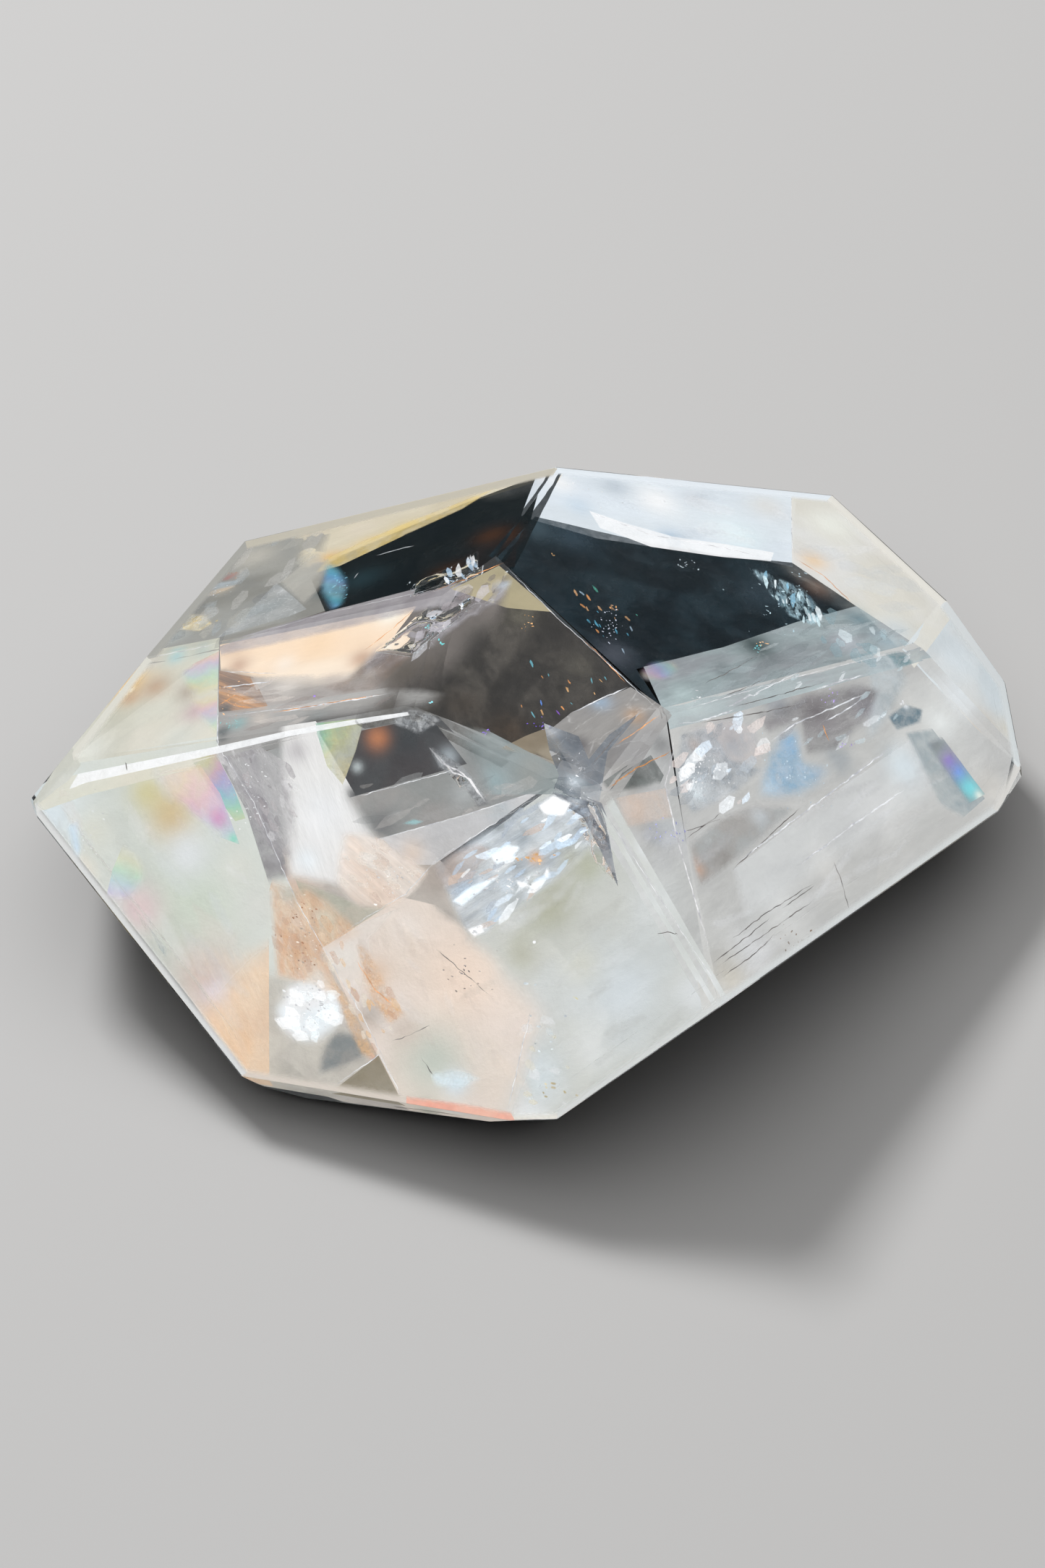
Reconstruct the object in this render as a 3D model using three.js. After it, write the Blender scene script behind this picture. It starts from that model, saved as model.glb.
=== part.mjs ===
// Polished freeform of clear optical calcite, lying on its flat resting facet.
// Millimetres, +Z up. The stone is one convex solid, ground on all sides to flat facets.
// The origin is the middle of the stone's footprint, on the surface it rests on.

import * as THREE from 'three';
import { ConvexGeometry } from 'three/addons/geometries/ConvexGeometry.js';

// A facet is [ azimuth, tilt, reach ]. The azimuth is the compass direction that it faces, in degrees
// from +X towards +Y. The tilt is the angle of its normal from straight up, in degrees, so a facet over
// 90 is undercut. The reach is the distance of its plane from the origin, in millimetres.

// The flat that the stone lies on.
const restingFacet = [ 0, 180, 0 ];

// The crown: two long top faces that meet the big front face along the crest.
const crown = [
	[ 245, 47, 32.3 ],		// big front face
	[ 160.5, 20.5, 34.6 ],	// top, left of the crest's knee
	[ 22, 7.5, 32 ],		// top, right of the knee
	[ 127.5, 29, 34.2 ],	// back left shoulder
	[ 33.5, 21, 31.5 ],		// back right shoulder
	[ 341, 33.5, 33.5 ],	// front right face
	[ 2.5, 39, 39 ],		// right end
	[ 178, 37.5, 44 ]		// small face over the left tip
];

// The wall: steep faces round the widest part.
const wall = [
	[ 96, 74, 36.3 ],		// back
	[ 150.5, 63.5, 43.2 ],	// back left
	[ 37.5, 87, 47.5 ],		// back right
	[ 5.5, 112, 41 ],		// right end, upper
	[ 329, 118, 30 ],		// right end, front corner
	[ 310.5, 119, 21.5 ],	// front right
	[ 272, 125, 25.2 ],		// short one at the front corner
	[ 256, 112, 30.7 ],		// narrow strip below the front face
	[ 202, 130, 24.4 ]		// front left, under the long edge to the tip
];

// The underside: shallow faces round the resting facet.
const underside = [
	[ 280.5, 151, 10.2 ],	// front
	[ 188, 167, 3.4 ],		// left, the widest of them
	[ 182, 150, 15 ],		// far left
	[ 113.5, 144, 18 ],		// back left
	[ 84, 144, 18.3 ],		// back
	[ 52.5, 144, 20.8 ],	// back right
	[ 354, 152, 13.9 ]		// right
];

// Narrow worn flats: a bevel along the crest, tapering out at the knee, and the blunted left tip.
const wear = [
	[ 217, 27.5, 36.7 ],	// crest bevel
	[ 199.5, 83, 49.3 ]		// blunted tip
];

const calciteColour = 0xe4e2da;
const polishRoughness = 0.05;

// A hair's breadth, in millimetres, for telling whether a point lies on or behind a plane.
const hair = 1e-5;

// The plane of one facet, facing out of the stone.
function facetPlane( azimuth, tilt, reach ) {

	const polar = THREE.MathUtils.degToRad( tilt );
	const around = THREE.MathUtils.degToRad( azimuth );
	const normal = new THREE.Vector3(
		Math.sin( polar ) * Math.cos( around ),
		Math.sin( polar ) * Math.sin( around ),
		Math.cos( polar )
	);
	return new THREE.Plane( normal, - reach );

}

// The point that three planes share, or null where they run side by side.
function meetingPoint( a, b, c ) {

	const across = new THREE.Vector3().crossVectors( b.normal, c.normal );
	const spread = a.normal.dot( across );
	if ( Math.abs( spread ) < hair ) {

		return null;

	}

	const point = across.multiplyScalar( - a.constant );
	point.addScaledVector( new THREE.Vector3().crossVectors( c.normal, a.normal ), - b.constant );
	point.addScaledVector( new THREE.Vector3().crossVectors( a.normal, b.normal ), - c.constant );
	return point.divideScalar( spread );

}

// The stone's corners: every meeting point of three facets that no other facet has ground away.
function cornersOf( planes ) {

	const corners = [];
	for ( let i = 0; i < planes.length; i ++ ) {

		for ( let j = i + 1; j < planes.length; j ++ ) {

			for ( let k = j + 1; k < planes.length; k ++ ) {

				const point = meetingPoint( planes[ i ], planes[ j ], planes[ k ] );
				if ( point && planes.every( ( plane ) => plane.distanceToPoint( point ) < hair ) ) {

					corners.push( point );

				}

			}

		}

	}

	return corners;

}

const facets = [ restingFacet, ...crown, ...wall, ...underside, ...wear ];
const corners = cornersOf( facets.map( ( facet ) => facetPlane( ...facet ) ) );

// The facets leave the outline a few hundredths off the middle, so the corners are centred first.
const outline = new THREE.Box3().setFromPoints( corners );
const outlineMiddle = outline.getCenter( new THREE.Vector3() );
for ( const corner of corners ) {

	corner.x -= outlineMiddle.x;
	corner.y -= outlineMiddle.y;

}

const calcite = new THREE.Mesh( new ConvexGeometry( corners ), new THREE.MeshStandardMaterial( {
	color: calciteColour,
	roughness: polishRoughness,
	metalness: 0,
	flatShading: true
} ) );
calcite.name = 'calcite_freeform';

const freeform = new THREE.Group();
freeform.name = 'optical_calcite_freeform';
freeform.add( calcite );

export default freeform;
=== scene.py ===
import math
import random

import bmesh
import bpy
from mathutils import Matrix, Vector, noise
from mathutils.bvhtree import BVHTree
from mathutils.geometry import delaunay_2d_cdt


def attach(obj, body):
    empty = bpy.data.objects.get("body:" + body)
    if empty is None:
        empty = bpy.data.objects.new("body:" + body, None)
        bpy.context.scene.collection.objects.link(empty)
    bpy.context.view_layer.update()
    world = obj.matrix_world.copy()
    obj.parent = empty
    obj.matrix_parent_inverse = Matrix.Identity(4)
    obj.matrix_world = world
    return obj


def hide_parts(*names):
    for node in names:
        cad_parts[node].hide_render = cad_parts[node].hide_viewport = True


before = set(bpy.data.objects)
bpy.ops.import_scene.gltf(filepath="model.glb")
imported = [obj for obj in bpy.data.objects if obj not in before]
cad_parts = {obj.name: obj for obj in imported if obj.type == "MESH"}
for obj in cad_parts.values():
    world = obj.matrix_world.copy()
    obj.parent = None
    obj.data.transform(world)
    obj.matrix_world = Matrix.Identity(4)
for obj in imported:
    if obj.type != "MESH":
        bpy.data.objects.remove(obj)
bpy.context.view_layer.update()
mm = 0.001
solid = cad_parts["calcite_freeform"].data
calciteIor = 1.6

# The camera looks down on the stone from its front, long side across the picture.
cameraSetup = {
    "elevation": 50.0,                              # degrees above the table
    "distance": 443 * mm,
    "aim": Vector((-0.98, -2.84, 17.0)) * mm,
    "lens": 105.0,
    "sensor": 36.0,
    "clip": (0.01, 50),
    "picture": (1445, 2168),                        # width and height in pixels
}


def makeCamera(setup):
    lift = math.radians(setup["elevation"])
    data = bpy.data.cameras.new("camera")
    data.lens = setup["lens"]
    data.sensor_width = setup["sensor"]
    data.sensor_fit = "AUTO"
    data.clip_start, data.clip_end = setup["clip"]
    obj = bpy.data.objects.new("camera", data)
    back = Vector((0, -math.cos(lift), math.sin(lift)))
    obj.location = setup["aim"] + back * setup["distance"]
    obj.rotation_euler = (math.radians(90 - setup["elevation"]), 0, 0)
    bpy.context.collection.objects.link(obj)
    bpy.context.scene.camera = obj
    return obj


camera = makeCamera(cameraSetup)

# A pale matt table top
floorLook = {"size": 4.0, "drop": 0.02 * mm, "color": (0.5, 0.495, 0.49), "roughness": 0.7}


def makeFloor(look):
    half = look["size"] / 2
    corners = [(-half, -half, 0), (half, -half, 0), (half, half, 0), (-half, half, 0)]
    mesh = bpy.data.meshes.new("floor")
    mesh.from_pydata(corners, [], [(0, 1, 2, 3)])
    obj = bpy.data.objects.new("floor", mesh)
    obj.location.z = -look["drop"]
    bpy.context.collection.objects.link(obj)
    mat = bpy.data.materials.new("floor")
    mat.use_nodes = True
    bsdf = mat.node_tree.nodes["Principled BSDF"]
    bsdf.inputs["Base Color"].default_value = (*look["color"], 1)
    bsdf.inputs["Roughness"].default_value = look["roughness"]
    mesh.materials.append(mat)
    return obj


floor = makeFloor(floorLook)

# Each lamp shines only on its own kind of piece: the table, the clear body, the veils inside it, or the
# brightest flakes among them. Angle is the azimuth and elevation it shines from, power is in watts.
lampGroups = {name: bpy.data.collections.new(name)
              for name in ("onTable", "inGlass", "onVeils", "onFlakes", "noShade")}
lamps = {
    "keyLamp": dict(angle=(125, 52), distance=1.2, size=(0.3, 0.3), power=11, lights="onTable"),
    "skyLamp": dict(angle=(90, 90), distance=1.0, size=(1.6, 1.6), power=9, lights="onTable"),
    "backSoftbox": dict(angle=(100, 40), distance=0.9, size=(0.9, 0.5), power=0.8, lights="inGlass"),
    "leftSoftbox": dict(angle=(185, 28), distance=0.9, size=(0.5, 0.4), power=0.6, lights="inGlass"),
    "rightSoftbox": dict(angle=(335, 25), distance=0.9, size=(0.4, 0.4), power=0.4, lights="inGlass"),
    "veilTop": dict(angle=(240, 72), distance=1.0, size=(0.6, 0.6), power=8.0, lights="onVeils"),
    "veilFront": dict(angle=(235, 35), distance=1.0, size=(0.6, 0.6), power=4.0, lights="onVeils"),
    "veilBack": dict(angle=(80, 40), distance=1.0, size=(0.6, 0.6), power=5.6, lights="onVeils"),
    "veilRight": dict(angle=(345, 30), distance=1.0, size=(0.6, 0.6), power=3.6, lights="onVeils"),
    "flakeGlint": dict(angle=(230, 60), distance=1.0, size=(0.5, 0.5), power=6.5, lights="onFlakes"),
}


def makeLamp(name, spec):
    data = bpy.data.lights.new(name, "AREA")
    data.shape = "RECTANGLE"
    data.size, data.size_y = spec["size"]
    data.energy = spec["power"]
    data.cycles.use_multiple_importance_sampling = spec["lights"] == "inGlass"
    obj = bpy.data.objects.new(name, data)
    azimuth, lift = (math.radians(v) for v in spec["angle"])
    way = Vector((math.cos(azimuth) * math.cos(lift), math.sin(azimuth) * math.cos(lift), math.sin(lift)))
    obj.location = way * spec["distance"]
    obj.rotation_euler = way.to_track_quat("Z", "Y").to_euler()
    obj.light_linking.receiver_collection = lampGroups[spec["lights"]]
    if spec["lights"] in ("onVeils", "onFlakes"):
        obj.light_linking.blocker_collection = lampGroups["noShade"]
    bpy.context.collection.objects.link(obj)


for lampName, spec in lamps.items():
    makeLamp(lampName, spec)
print("lamps:", len(lamps))

worldLook = {"color": (0.95, 0.97, 1.0), "strength": 0.22}


def makeWorld(look):
    world = bpy.data.worlds.new("studio")
    bpy.context.scene.world = world
    world.use_nodes = True
    background = world.node_tree.nodes["Background"]
    background.inputs["Color"].default_value = (*look["color"], 1)
    background.inputs["Strength"].default_value = look["strength"]
    world.cycles_visibility.diffuse = False         # the table is lit by its own lamps
    world.cycles_visibility.glossy = False


makeWorld(worldLook)
lampGroups["onTable"].objects.link(floor)
lampGroups["noShade"].objects.link(floor)
floor.visible_glossy = False                        # the facets mirror the lamps, not the table

# Bounces enough for light that goes round inside the stone
bounces = {"max_bounces": 24, "glossy_bounces": 16, "transmission_bounces": 24, "transparent_max_bounces": 24}
for label, count in bounces.items():
    setattr(bpy.context.scene.cycles, label, count)


# Shader helpers
def node(tree, kind, **settings):
    made = tree.nodes.new(kind)
    for key, value in settings.items():
        setattr(made, key, value)
    return made


def feed(tree, socket, value):
    # a socket takes either a plain value or what comes out of another node
    if isinstance(value, (int, float, tuple)):
        socket.default_value = value
    else:
        tree.links.new(value, socket)


def mathNode(tree, operation, first, second, clamp=False):
    made = node(tree, "ShaderNodeMath", operation=operation, use_clamp=clamp)
    feed(tree, made.inputs[0], first)
    feed(tree, made.inputs[1], second)
    return made.outputs[0]


def times(tree, first, second, clamp=False):
    return mathNode(tree, "MULTIPLY", first, second, clamp)


def plus(tree, first, second, clamp=False):
    return mathNode(tree, "ADD", first, second, clamp)


def newGroup(name, inputs, outputs):
    tree = bpy.data.node_groups.new(name, "ShaderNodeTree")
    for label, kind, value in inputs:
        socket = tree.interface.new_socket(name=label, in_out="INPUT", socket_type=kind)
        if value is not None:
            socket.default_value = value
    for label, kind in outputs:
        tree.interface.new_socket(name=label, in_out="OUTPUT", socket_type=kind)
    return tree, node(tree, "NodeGroupInput").outputs, node(tree, "NodeGroupOutput").inputs


def placeGroup(tree, group, values):
    made = node(tree, "ShaderNodeGroup", node_tree=group)
    for label, value in values.items():
        feed(tree, made.inputs[label], value)
    return made.outputs


def noiseNode(tree, vector, scale, detail=4.0, roughness=0.6, distortion=0.0):
    made = node(tree, "ShaderNodeTexNoise")
    settings = {"Vector": vector, "Scale": scale, "Detail": detail, "Roughness": roughness,
                "Distortion": distortion}
    for label, value in settings.items():
        feed(tree, made.inputs[label], value)
    return made.outputs["Fac"]


def spread(tree, value, low, high, toLow=0.0, toHigh=1.0, smooth=True):
    made = node(tree, "ShaderNodeMapRange")
    made.interpolation_type = "SMOOTHSTEP" if smooth else "LINEAR"
    made.clamp = True
    settings = {"Value": value, "From Min": low, "From Max": high, "To Min": toLow, "To Max": toHigh}
    for label, number in settings.items():
        feed(tree, made.inputs[label], number)
    return made.outputs["Result"]


def mixColor(tree, factor, first, second, blend="MIX"):
    made = node(tree, "ShaderNodeMix", data_type="RGBA", blend_type=blend)
    for label, value in (("Factor", factor), ("A", first), ("B", second)):
        feed(tree, made.inputs[label], value)
    return made.outputs["Result"]


# The milk: clouds, straight growth bands, a web of cracks and a gritty glitter. Each pair is the range over
# which a pattern comes in; shares say how much each adds; scales are against the size of the clouds.
milkLook = {
    "broad": (0.38, 0.62), "broadShare": 0.7,
    "fine": (0.35, 0.7), "fineShare": 0.3, "fineScale": 5.0,
    "band": (0.44, 0.5), "bandShare": 0.6, "bandDrift": 0.03, "bandScale": 0.7,
    "hair": (0.46, 0.62), "hairShare": 0.4, "hairScale": 4.0,
    "grit": (0.25, 0.9), "spark": (0.7, 0.9), "gritScale": 1.7,
    "thread": (0.0, 0.05), "gaps": (0.4, 0.6), "webScale": 1.6, "webWarp": 0.5,
    "patch": (0.4, 0.66), "patchShare": 0.8, "patchScale": 0.6,
    "darkShare": 0.6, "dark": (0.3, 0.32, 0.34, 1), "bright": (1, 1, 1, 1),
}


def makeCloudGroup(look):
    number, color, vector = "NodeSocketFloat", "NodeSocketColor", "NodeSocketVector"
    tree, take, out = newGroup("cloud", [
        ("Vector", vector, None), ("Tone", color, None), ("Tint", color, None), ("Size", number, 4.0),
        ("Stretch", number, 1.0), ("Contrast", number, 0.5), ("Cover", number, 0.5), ("Fade", number, 1.0),
        ("Bands", number, 0.3), ("Band Size", number, 1.0), ("Web", number, 0.0), ("Grit", number, 0.0),
    ], [("Color", color), ("Cover", number), ("Height", number)])

    # clouds, drawn out along the run of the sheet
    squeeze = node(tree, "ShaderNodeCombineXYZ")
    squeeze.inputs["Y"].default_value = 1.0
    squeeze.inputs["Z"].default_value = 1.0
    tree.links.new(mathNode(tree, "DIVIDE", 1.0, take["Stretch"]), squeeze.inputs["X"])
    place = node(tree, "ShaderNodeVectorMath", operation="MULTIPLY")
    tree.links.new(take["Vector"], place.inputs[0])
    tree.links.new(squeeze.outputs[0], place.inputs[1])
    spot = place.outputs[0]
    scale = mathNode(tree, "DIVIDE", 1.0, take["Size"])
    broad = noiseNode(tree, spot, scale, detail=6.0, roughness=0.62, distortion=0.4)
    fine = noiseNode(tree, spot, times(tree, scale, look["fineScale"]), detail=5.0, roughness=0.7)
    both = plus(tree, times(tree, spread(tree, broad, *look["broad"]), look["broadShare"]),
                times(tree, spread(tree, fine, *look["fine"]), look["fineShare"]))
    lost = times(tree, mathNode(tree, "SUBTRACT", 1.0, both), take["Contrast"])
    milk = times(tree, mathNode(tree, "SUBTRACT", 1.0, lost, clamp=True), take["Cover"])

    # growth bands, wide ones and hair lines
    split = node(tree, "ShaderNodeSeparateXYZ")
    tree.links.new(take["Vector"], split.inputs[0])
    lane = node(tree, "ShaderNodeCombineXYZ")
    tree.links.new(times(tree, split.outputs["X"], look["bandDrift"]), lane.inputs["X"])
    tree.links.new(mathNode(tree, "DIVIDE", split.outputs["Y"], take["Band Size"]), lane.inputs["Y"])
    wide = spread(tree, noiseNode(tree, lane.outputs[0], look["bandScale"], 2.0), *look["band"])
    hair = spread(tree, noiseNode(tree, lane.outputs[0], look["hairScale"], 2.0), *look["hair"])
    bands = plus(tree, times(tree, wide, look["bandShare"]), times(tree, hair, look["hairShare"]))
    shade = times(tree, bands, take["Bands"])

    # grit and the web of cracks, both on a slightly warped ground
    warp = node(tree, "ShaderNodeVectorMath", operation="ADD")
    drift = node(tree, "ShaderNodeTexNoise")
    drift.inputs["Scale"].default_value = look["webWarp"]
    tree.links.new(take["Vector"], drift.inputs["Vector"])
    tree.links.new(spot, warp.inputs[0])
    tree.links.new(drift.outputs["Color"], warp.inputs[1])
    cells = node(tree, "ShaderNodeTexVoronoi", feature="F1")
    tree.links.new(warp.outputs[0], cells.inputs["Vector"])
    tree.links.new(times(tree, scale, look["gritScale"]), cells.inputs["Scale"])
    cellTone = node(tree, "ShaderNodeSeparateColor")
    tree.links.new(cells.outputs["Color"], cellTone.inputs[0])
    grit = times(tree, spread(tree, cellTone.outputs[0], *look["grit"]), take["Grit"])
    spark = times(tree, spread(tree, cellTone.outputs[1], *look["spark"]), take["Grit"])
    cracks = node(tree, "ShaderNodeTexVoronoi", feature="DISTANCE_TO_EDGE")
    tree.links.new(warp.outputs[0], cracks.inputs["Vector"])
    tree.links.new(times(tree, scale, look["webScale"]), cracks.inputs["Scale"])
    thread = spread(tree, cracks.outputs["Distance"], *look["thread"], 1.0, 0.0)
    web = times(tree, times(tree, thread, spread(tree, fine, *look["gaps"])), take["Web"])

    # the colour wanders between tone and tint, darker in bands and grit, white on threads and sparks
    patches = noiseNode(tree, spot, times(tree, scale, look["patchScale"]), 3.0)
    share = spread(tree, patches, *look["patch"], 0.0, look["patchShare"])
    base = mixColor(tree, share, take["Tone"], take["Tint"])
    dark = times(tree, plus(tree, shade, grit), look["darkShare"], clamp=True)
    shaded = mixColor(tree, dark, base, mixColor(tree, 1.0, base, look["dark"], "MULTIPLY"))
    bright = mathNode(tree, "MAXIMUM", web, spark)
    tree.links.new(mixColor(tree, bright, shaded, look["bright"]), out["Color"])
    tree.links.new(times(tree, plus(tree, milk, web, clamp=True), take["Fade"]), out["Cover"])
    tree.links.new(plus(tree, both, plus(tree, grit, web)), out["Height"])
    return tree


cloud = makeCloudGroup(milkLook)

# Thin films on half-open cleavages: the colour runs through the spectrum across their width.
filmColors = [(0.0, (0.75, 0.75, 0.6)), (0.14, (0.85, 0.65, 0.2)), (0.28, (0.85, 0.25, 0.45)),
              (0.42, (0.35, 0.2, 0.8)), (0.56, (0.1, 0.55, 0.75)), (0.7, (0.2, 0.8, 0.4)),
              (0.85, (0.8, 0.8, 0.25)), (1.0, (0.75, 0.75, 0.6))]
filmWobble = 0.35                                   # how fine the waver in the colours is


def makeFilmGroup():
    number = "NodeSocketFloat"
    tree, take, out = newGroup("film", [
        ("Vector", "NodeSocketVector", None), ("Width", number, 5.0), ("Start", number, 0.0),
        ("Warp", number, 0.15),
    ], [("Color", "NodeSocketColor")])
    split = node(tree, "ShaderNodeSeparateXYZ")
    tree.links.new(take["Vector"], split.inputs[0])
    across = mathNode(tree, "DIVIDE", split.outputs["X"], take["Width"])
    wobble = times(tree, noiseNode(tree, take["Vector"], filmWobble, 3.0), take["Warp"])
    order = plus(tree, plus(tree, across, take["Start"]), wobble)
    fraction = node(tree, "ShaderNodeMath", operation="FRACT")
    tree.links.new(order, fraction.inputs[0])
    ramp = node(tree, "ShaderNodeValToRGB")
    first, last = ramp.color_ramp.elements
    first.position, first.color = filmColors[0][0], (*filmColors[0][1], 1)
    last.position, last.color = filmColors[-1][0], (*filmColors[-1][1], 1)
    for place, shade in filmColors[1:-1]:
        ramp.color_ramp.elements.new(place).color = (*shade, 1)
    tree.links.new(fraction.outputs[0], ramp.inputs[0])
    tree.links.new(ramp.outputs["Color"], out["Color"])
    return tree


film = makeFilmGroup()


def newMaterial(name):
    mat = bpy.data.materials.new(name)
    mat.use_nodes = True
    return mat, mat.node_tree, mat.node_tree.nodes["Principled BSDF"]


# What the clear stone takes from light on its way through
clearLook = {"color": (0.93, 0.935, 0.94, 1), "density": 3.0}


def clearMaterial(name, roughness):
    mat, tree, bsdf = newMaterial(name)
    bsdf.inputs["Base Color"].default_value = (1, 1, 1, 1)
    bsdf.inputs["Roughness"].default_value = roughness
    bsdf.inputs["IOR"].default_value = calciteIor
    bsdf.inputs["Transmission Weight"].default_value = 1.0
    absorb = node(tree, "ShaderNodeVolumeAbsorption")
    absorb.inputs["Color"].default_value = clearLook["color"]
    absorb.inputs["Density"].default_value = clearLook["density"]
    tree.links.new(absorb.outputs[0], tree.nodes["Material Output"].inputs["Volume"])
    return mat


def addPiece(name, bm, materials, group):
    # every piece rides with the stone; the group says which lamps light it
    mesh = bpy.data.meshes.new(name)
    bm.to_mesh(mesh)
    bm.free()
    for mat in materials:
        mesh.materials.append(mat)
    obj = bpy.data.objects.new(name, mesh)
    bpy.context.collection.objects.link(obj)
    obj.visible_diffuse = False
    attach(obj, "root")
    lampGroups[group].objects.link(obj)
    return obj


# The clear body: the solid's own facets, with a narrow ground strip along every edge
crystalLook = {"bevel": 0.12 * mm, "weld": 0.001 * mm, "flatWithin": 0.05, "edgeRoughness": 0.25}


def makeCrystal(look):
    bm = bmesh.new()
    bm.from_mesh(solid)
    bmesh.ops.remove_doubles(bm, verts=bm.verts, dist=look["weld"])
    bmesh.ops.dissolve_limit(bm, angle_limit=math.radians(look["flatWithin"]), verts=bm.verts,
                             edges=bm.edges)
    bmesh.ops.bevel(bm, geom=list(bm.edges), offset=look["bevel"], offset_type="OFFSET", segments=2,
                    profile=0.5, affect="EDGES", clamp_overlap=True, material=1)
    bmesh.ops.triangulate(bm, faces=[f for f in bm.faces if len(f.verts) > 4])
    bm.normal_update()
    polished = clearMaterial("calcite", 0.0)
    ground = clearMaterial("calciteEdge", look["edgeRoughness"])
    obj = addPiece("crystal", bm, [polished, ground], "inGlass")
    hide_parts("calcite_freeform")
    return obj


crystal = makeCrystal(crystalLook)
print("crystal:", len(crystal.data.polygons), "faces")

# Calcite parts along three directions, 75 degrees from one another: azimuth and tilt of each.
cleavage = {"steep": (7.5, 52.5), "long": (120.8, 40.5), "broad": (256.0, 41.9)}
stoneFaces = BVHTree.FromPolygons([v.co for v in solid.vertices], [p.vertices[:] for p in solid.polygons])
facetPlanes = [(p.normal.copy(), p.normal.dot(p.center)) for p in solid.polygons]


def planeNormal(azimuth, tilt):
    azimuth, tilt = math.radians(azimuth), math.radians(tilt)
    return Vector((math.cos(azimuth) * math.sin(tilt), math.sin(azimuth) * math.sin(tilt), math.cos(tilt)))


def sightLine(spot):
    width, height = cameraSetup["picture"]
    focal = cameraSetup["lens"] / cameraSetup["sensor"] * height
    ray = Vector((spot[0] - width / 2, height / 2 - spot[1], -focal)).normalized()
    return camera.location.copy(), camera.rotation_euler.to_matrix() @ ray


def meet(start, way, normal, reach):
    return start + way * ((reach - normal.dot(start)) / normal.dot(way))


def lookThrough(window, spot):
    # where the line of sight to a spot enters the facet seen at window, and its way on inside
    start, way = sightLine(window)
    place, normal, _, _ = stoneFaces.ray_cast(start, way)
    start, way = sightLine(spot)
    place = meet(start, way, normal, normal.dot(place))
    cosine = -way.dot(normal)
    ratio = 1 / calciteIor
    bent = ratio * way + (ratio * cosine - math.sqrt(1 - ratio ** 2 * (1 - cosine ** 2))) * normal
    return place, bent, normal


def planeAxes(normal):
    across = Vector((0, 0, 1)).cross(normal).normalized()
    return across, normal.cross(across)


def middle(spots):
    return [sum(spot[i] for spot in spots) / len(spots) for i in (0, 1)]


def layOut(spec):
    # the plane of an inner piece, a point on it, and the function that finds on it what is seen at a spot
    if "plane" in spec:
        return (*spec["plane"], Vector)
    window = spec.get("window") or middle(spec["seen"])
    place, way, facet = lookThrough(window, window)
    along = spec["along"]
    normal = facet if along == "facet" else planeNormal(*cleavage.get(along, along))
    anchor = place + way * spec["depth"] * mm
    across, upward = planeAxes(normal)

    def toFlat(spot):
        place, way, _ = lookThrough(window, spot)
        local = meet(place, way, normal, normal.dot(anchor)) - anchor
        return Vector((local.dot(across), local.dot(upward))) / mm

    return normal, anchor, toFlat


def edgeDistance(point, a, b):
    side = b - a
    t = max(0.0, min(1.0, (point - a).dot(side) / side.length_squared))
    return (a + side * t - point).length


def sidesOf(outline):
    return list(zip(outline, outline[1:] + outline[:1]))


def insideOutline(point, outline):
    crossings = False
    for a, b in sidesOf(outline):
        if (a.y > point.y) != (b.y > point.y):
            if point.x < (b.x - a.x) * (point.y - a.y) / (b.y - a.y) + a.x:
                crossings = not crossings
    return crossings


# Points fill an outline in staggered rows, so that the triangles come out nearly even.
fillPattern = {"rowHeight": 0.866, "stagger": (0.25, 0.75), "rimRoom": 0.45, "together": 1e-6}


def fillOutline(outline, step):
    sides = sidesOf(outline)
    points = []
    for a, b in sides:
        count = max(1, round((b - a).length / step))
        points += [a.lerp(b, i / count) for i in range(count)]
    rim = len(points)
    edges = [(i, (i + 1) % rim) for i in range(rim)]
    low = Vector((min(p.x for p in outline), min(p.y for p in outline)))
    high = Vector((max(p.x for p in outline), max(p.y for p in outline)))
    row = 0
    y = low.y + step / 2
    while y < high.y:
        x = low.x + step * fillPattern["stagger"][row % 2]
        while x < high.x:
            spot = Vector((x, y))
            if insideOutline(spot, outline):
                if min(edgeDistance(spot, a, b) for a, b in sides) > fillPattern["rimRoom"] * step:
                    points.append(spot)
            x += step
        y += step * fillPattern["rowHeight"]
        row += 1
    places, _, faces, *_ = delaunay_2d_cdt(points, edges, [], 1, fillPattern["together"])
    return places, faces


def tintAt(point, color, tints):
    # the colour of a sheet at a point, drawn towards the colour of each spot near it
    for centre, radius, other in tints:
        color = color.lerp(other, math.exp(-((point - centre).length / radius) ** 2))
    return color


cutSlack = 1e-7                                     # metres


def cutInside(bm, gap):
    # what would come nearer to the surface than the gap is cut away
    for facetNormal, reach in facetPlanes:
        geom = list(bm.verts) + list(bm.edges) + list(bm.faces)
        bmesh.ops.bisect_plane(bm, geom=geom, dist=cutSlack, plane_co=facetNormal * (reach - gap),
                               plane_no=facetNormal, clear_outer=True)


# What a sheet is when it doesn't say otherwise. Lengths are in mm. Run is the way its clouds and bands run,
# as seen in the picture. Cover is the most it hides, contrast how cloudy it is, soft how far each edge fades.
# Spots are the places where its colour changes: middle, radius and colour. Skin is how near it comes to the
# surface.
plain = {
    "along": "facet", "depth": 3.0, "skin": 0.25, "run": (61, -42),
    "tint": None, "spots": [], "cover": 0.88, "contrast": 0.2, "size": 5.0, "stretch": 1.0, "soft": 0,
    "bands": 0.08, "bandSize": 2.0, "web": 0.0, "grit": 0.0,
    "bump": 0.3, "relief": 0.1, "ripple": 5.0,
    "film": 0.0, "filmWidth": 5.0, "filmStart": 0.0, "warp": 0.3,
}
lookLayers = {
    "milk": ("cover", "contrast", "size", "stretch"),
    "marks": ("bands", "bandSize", "web", "grit"),
    "sheen": ("film", "filmWidth", "filmStart", "warp"),
}
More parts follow.
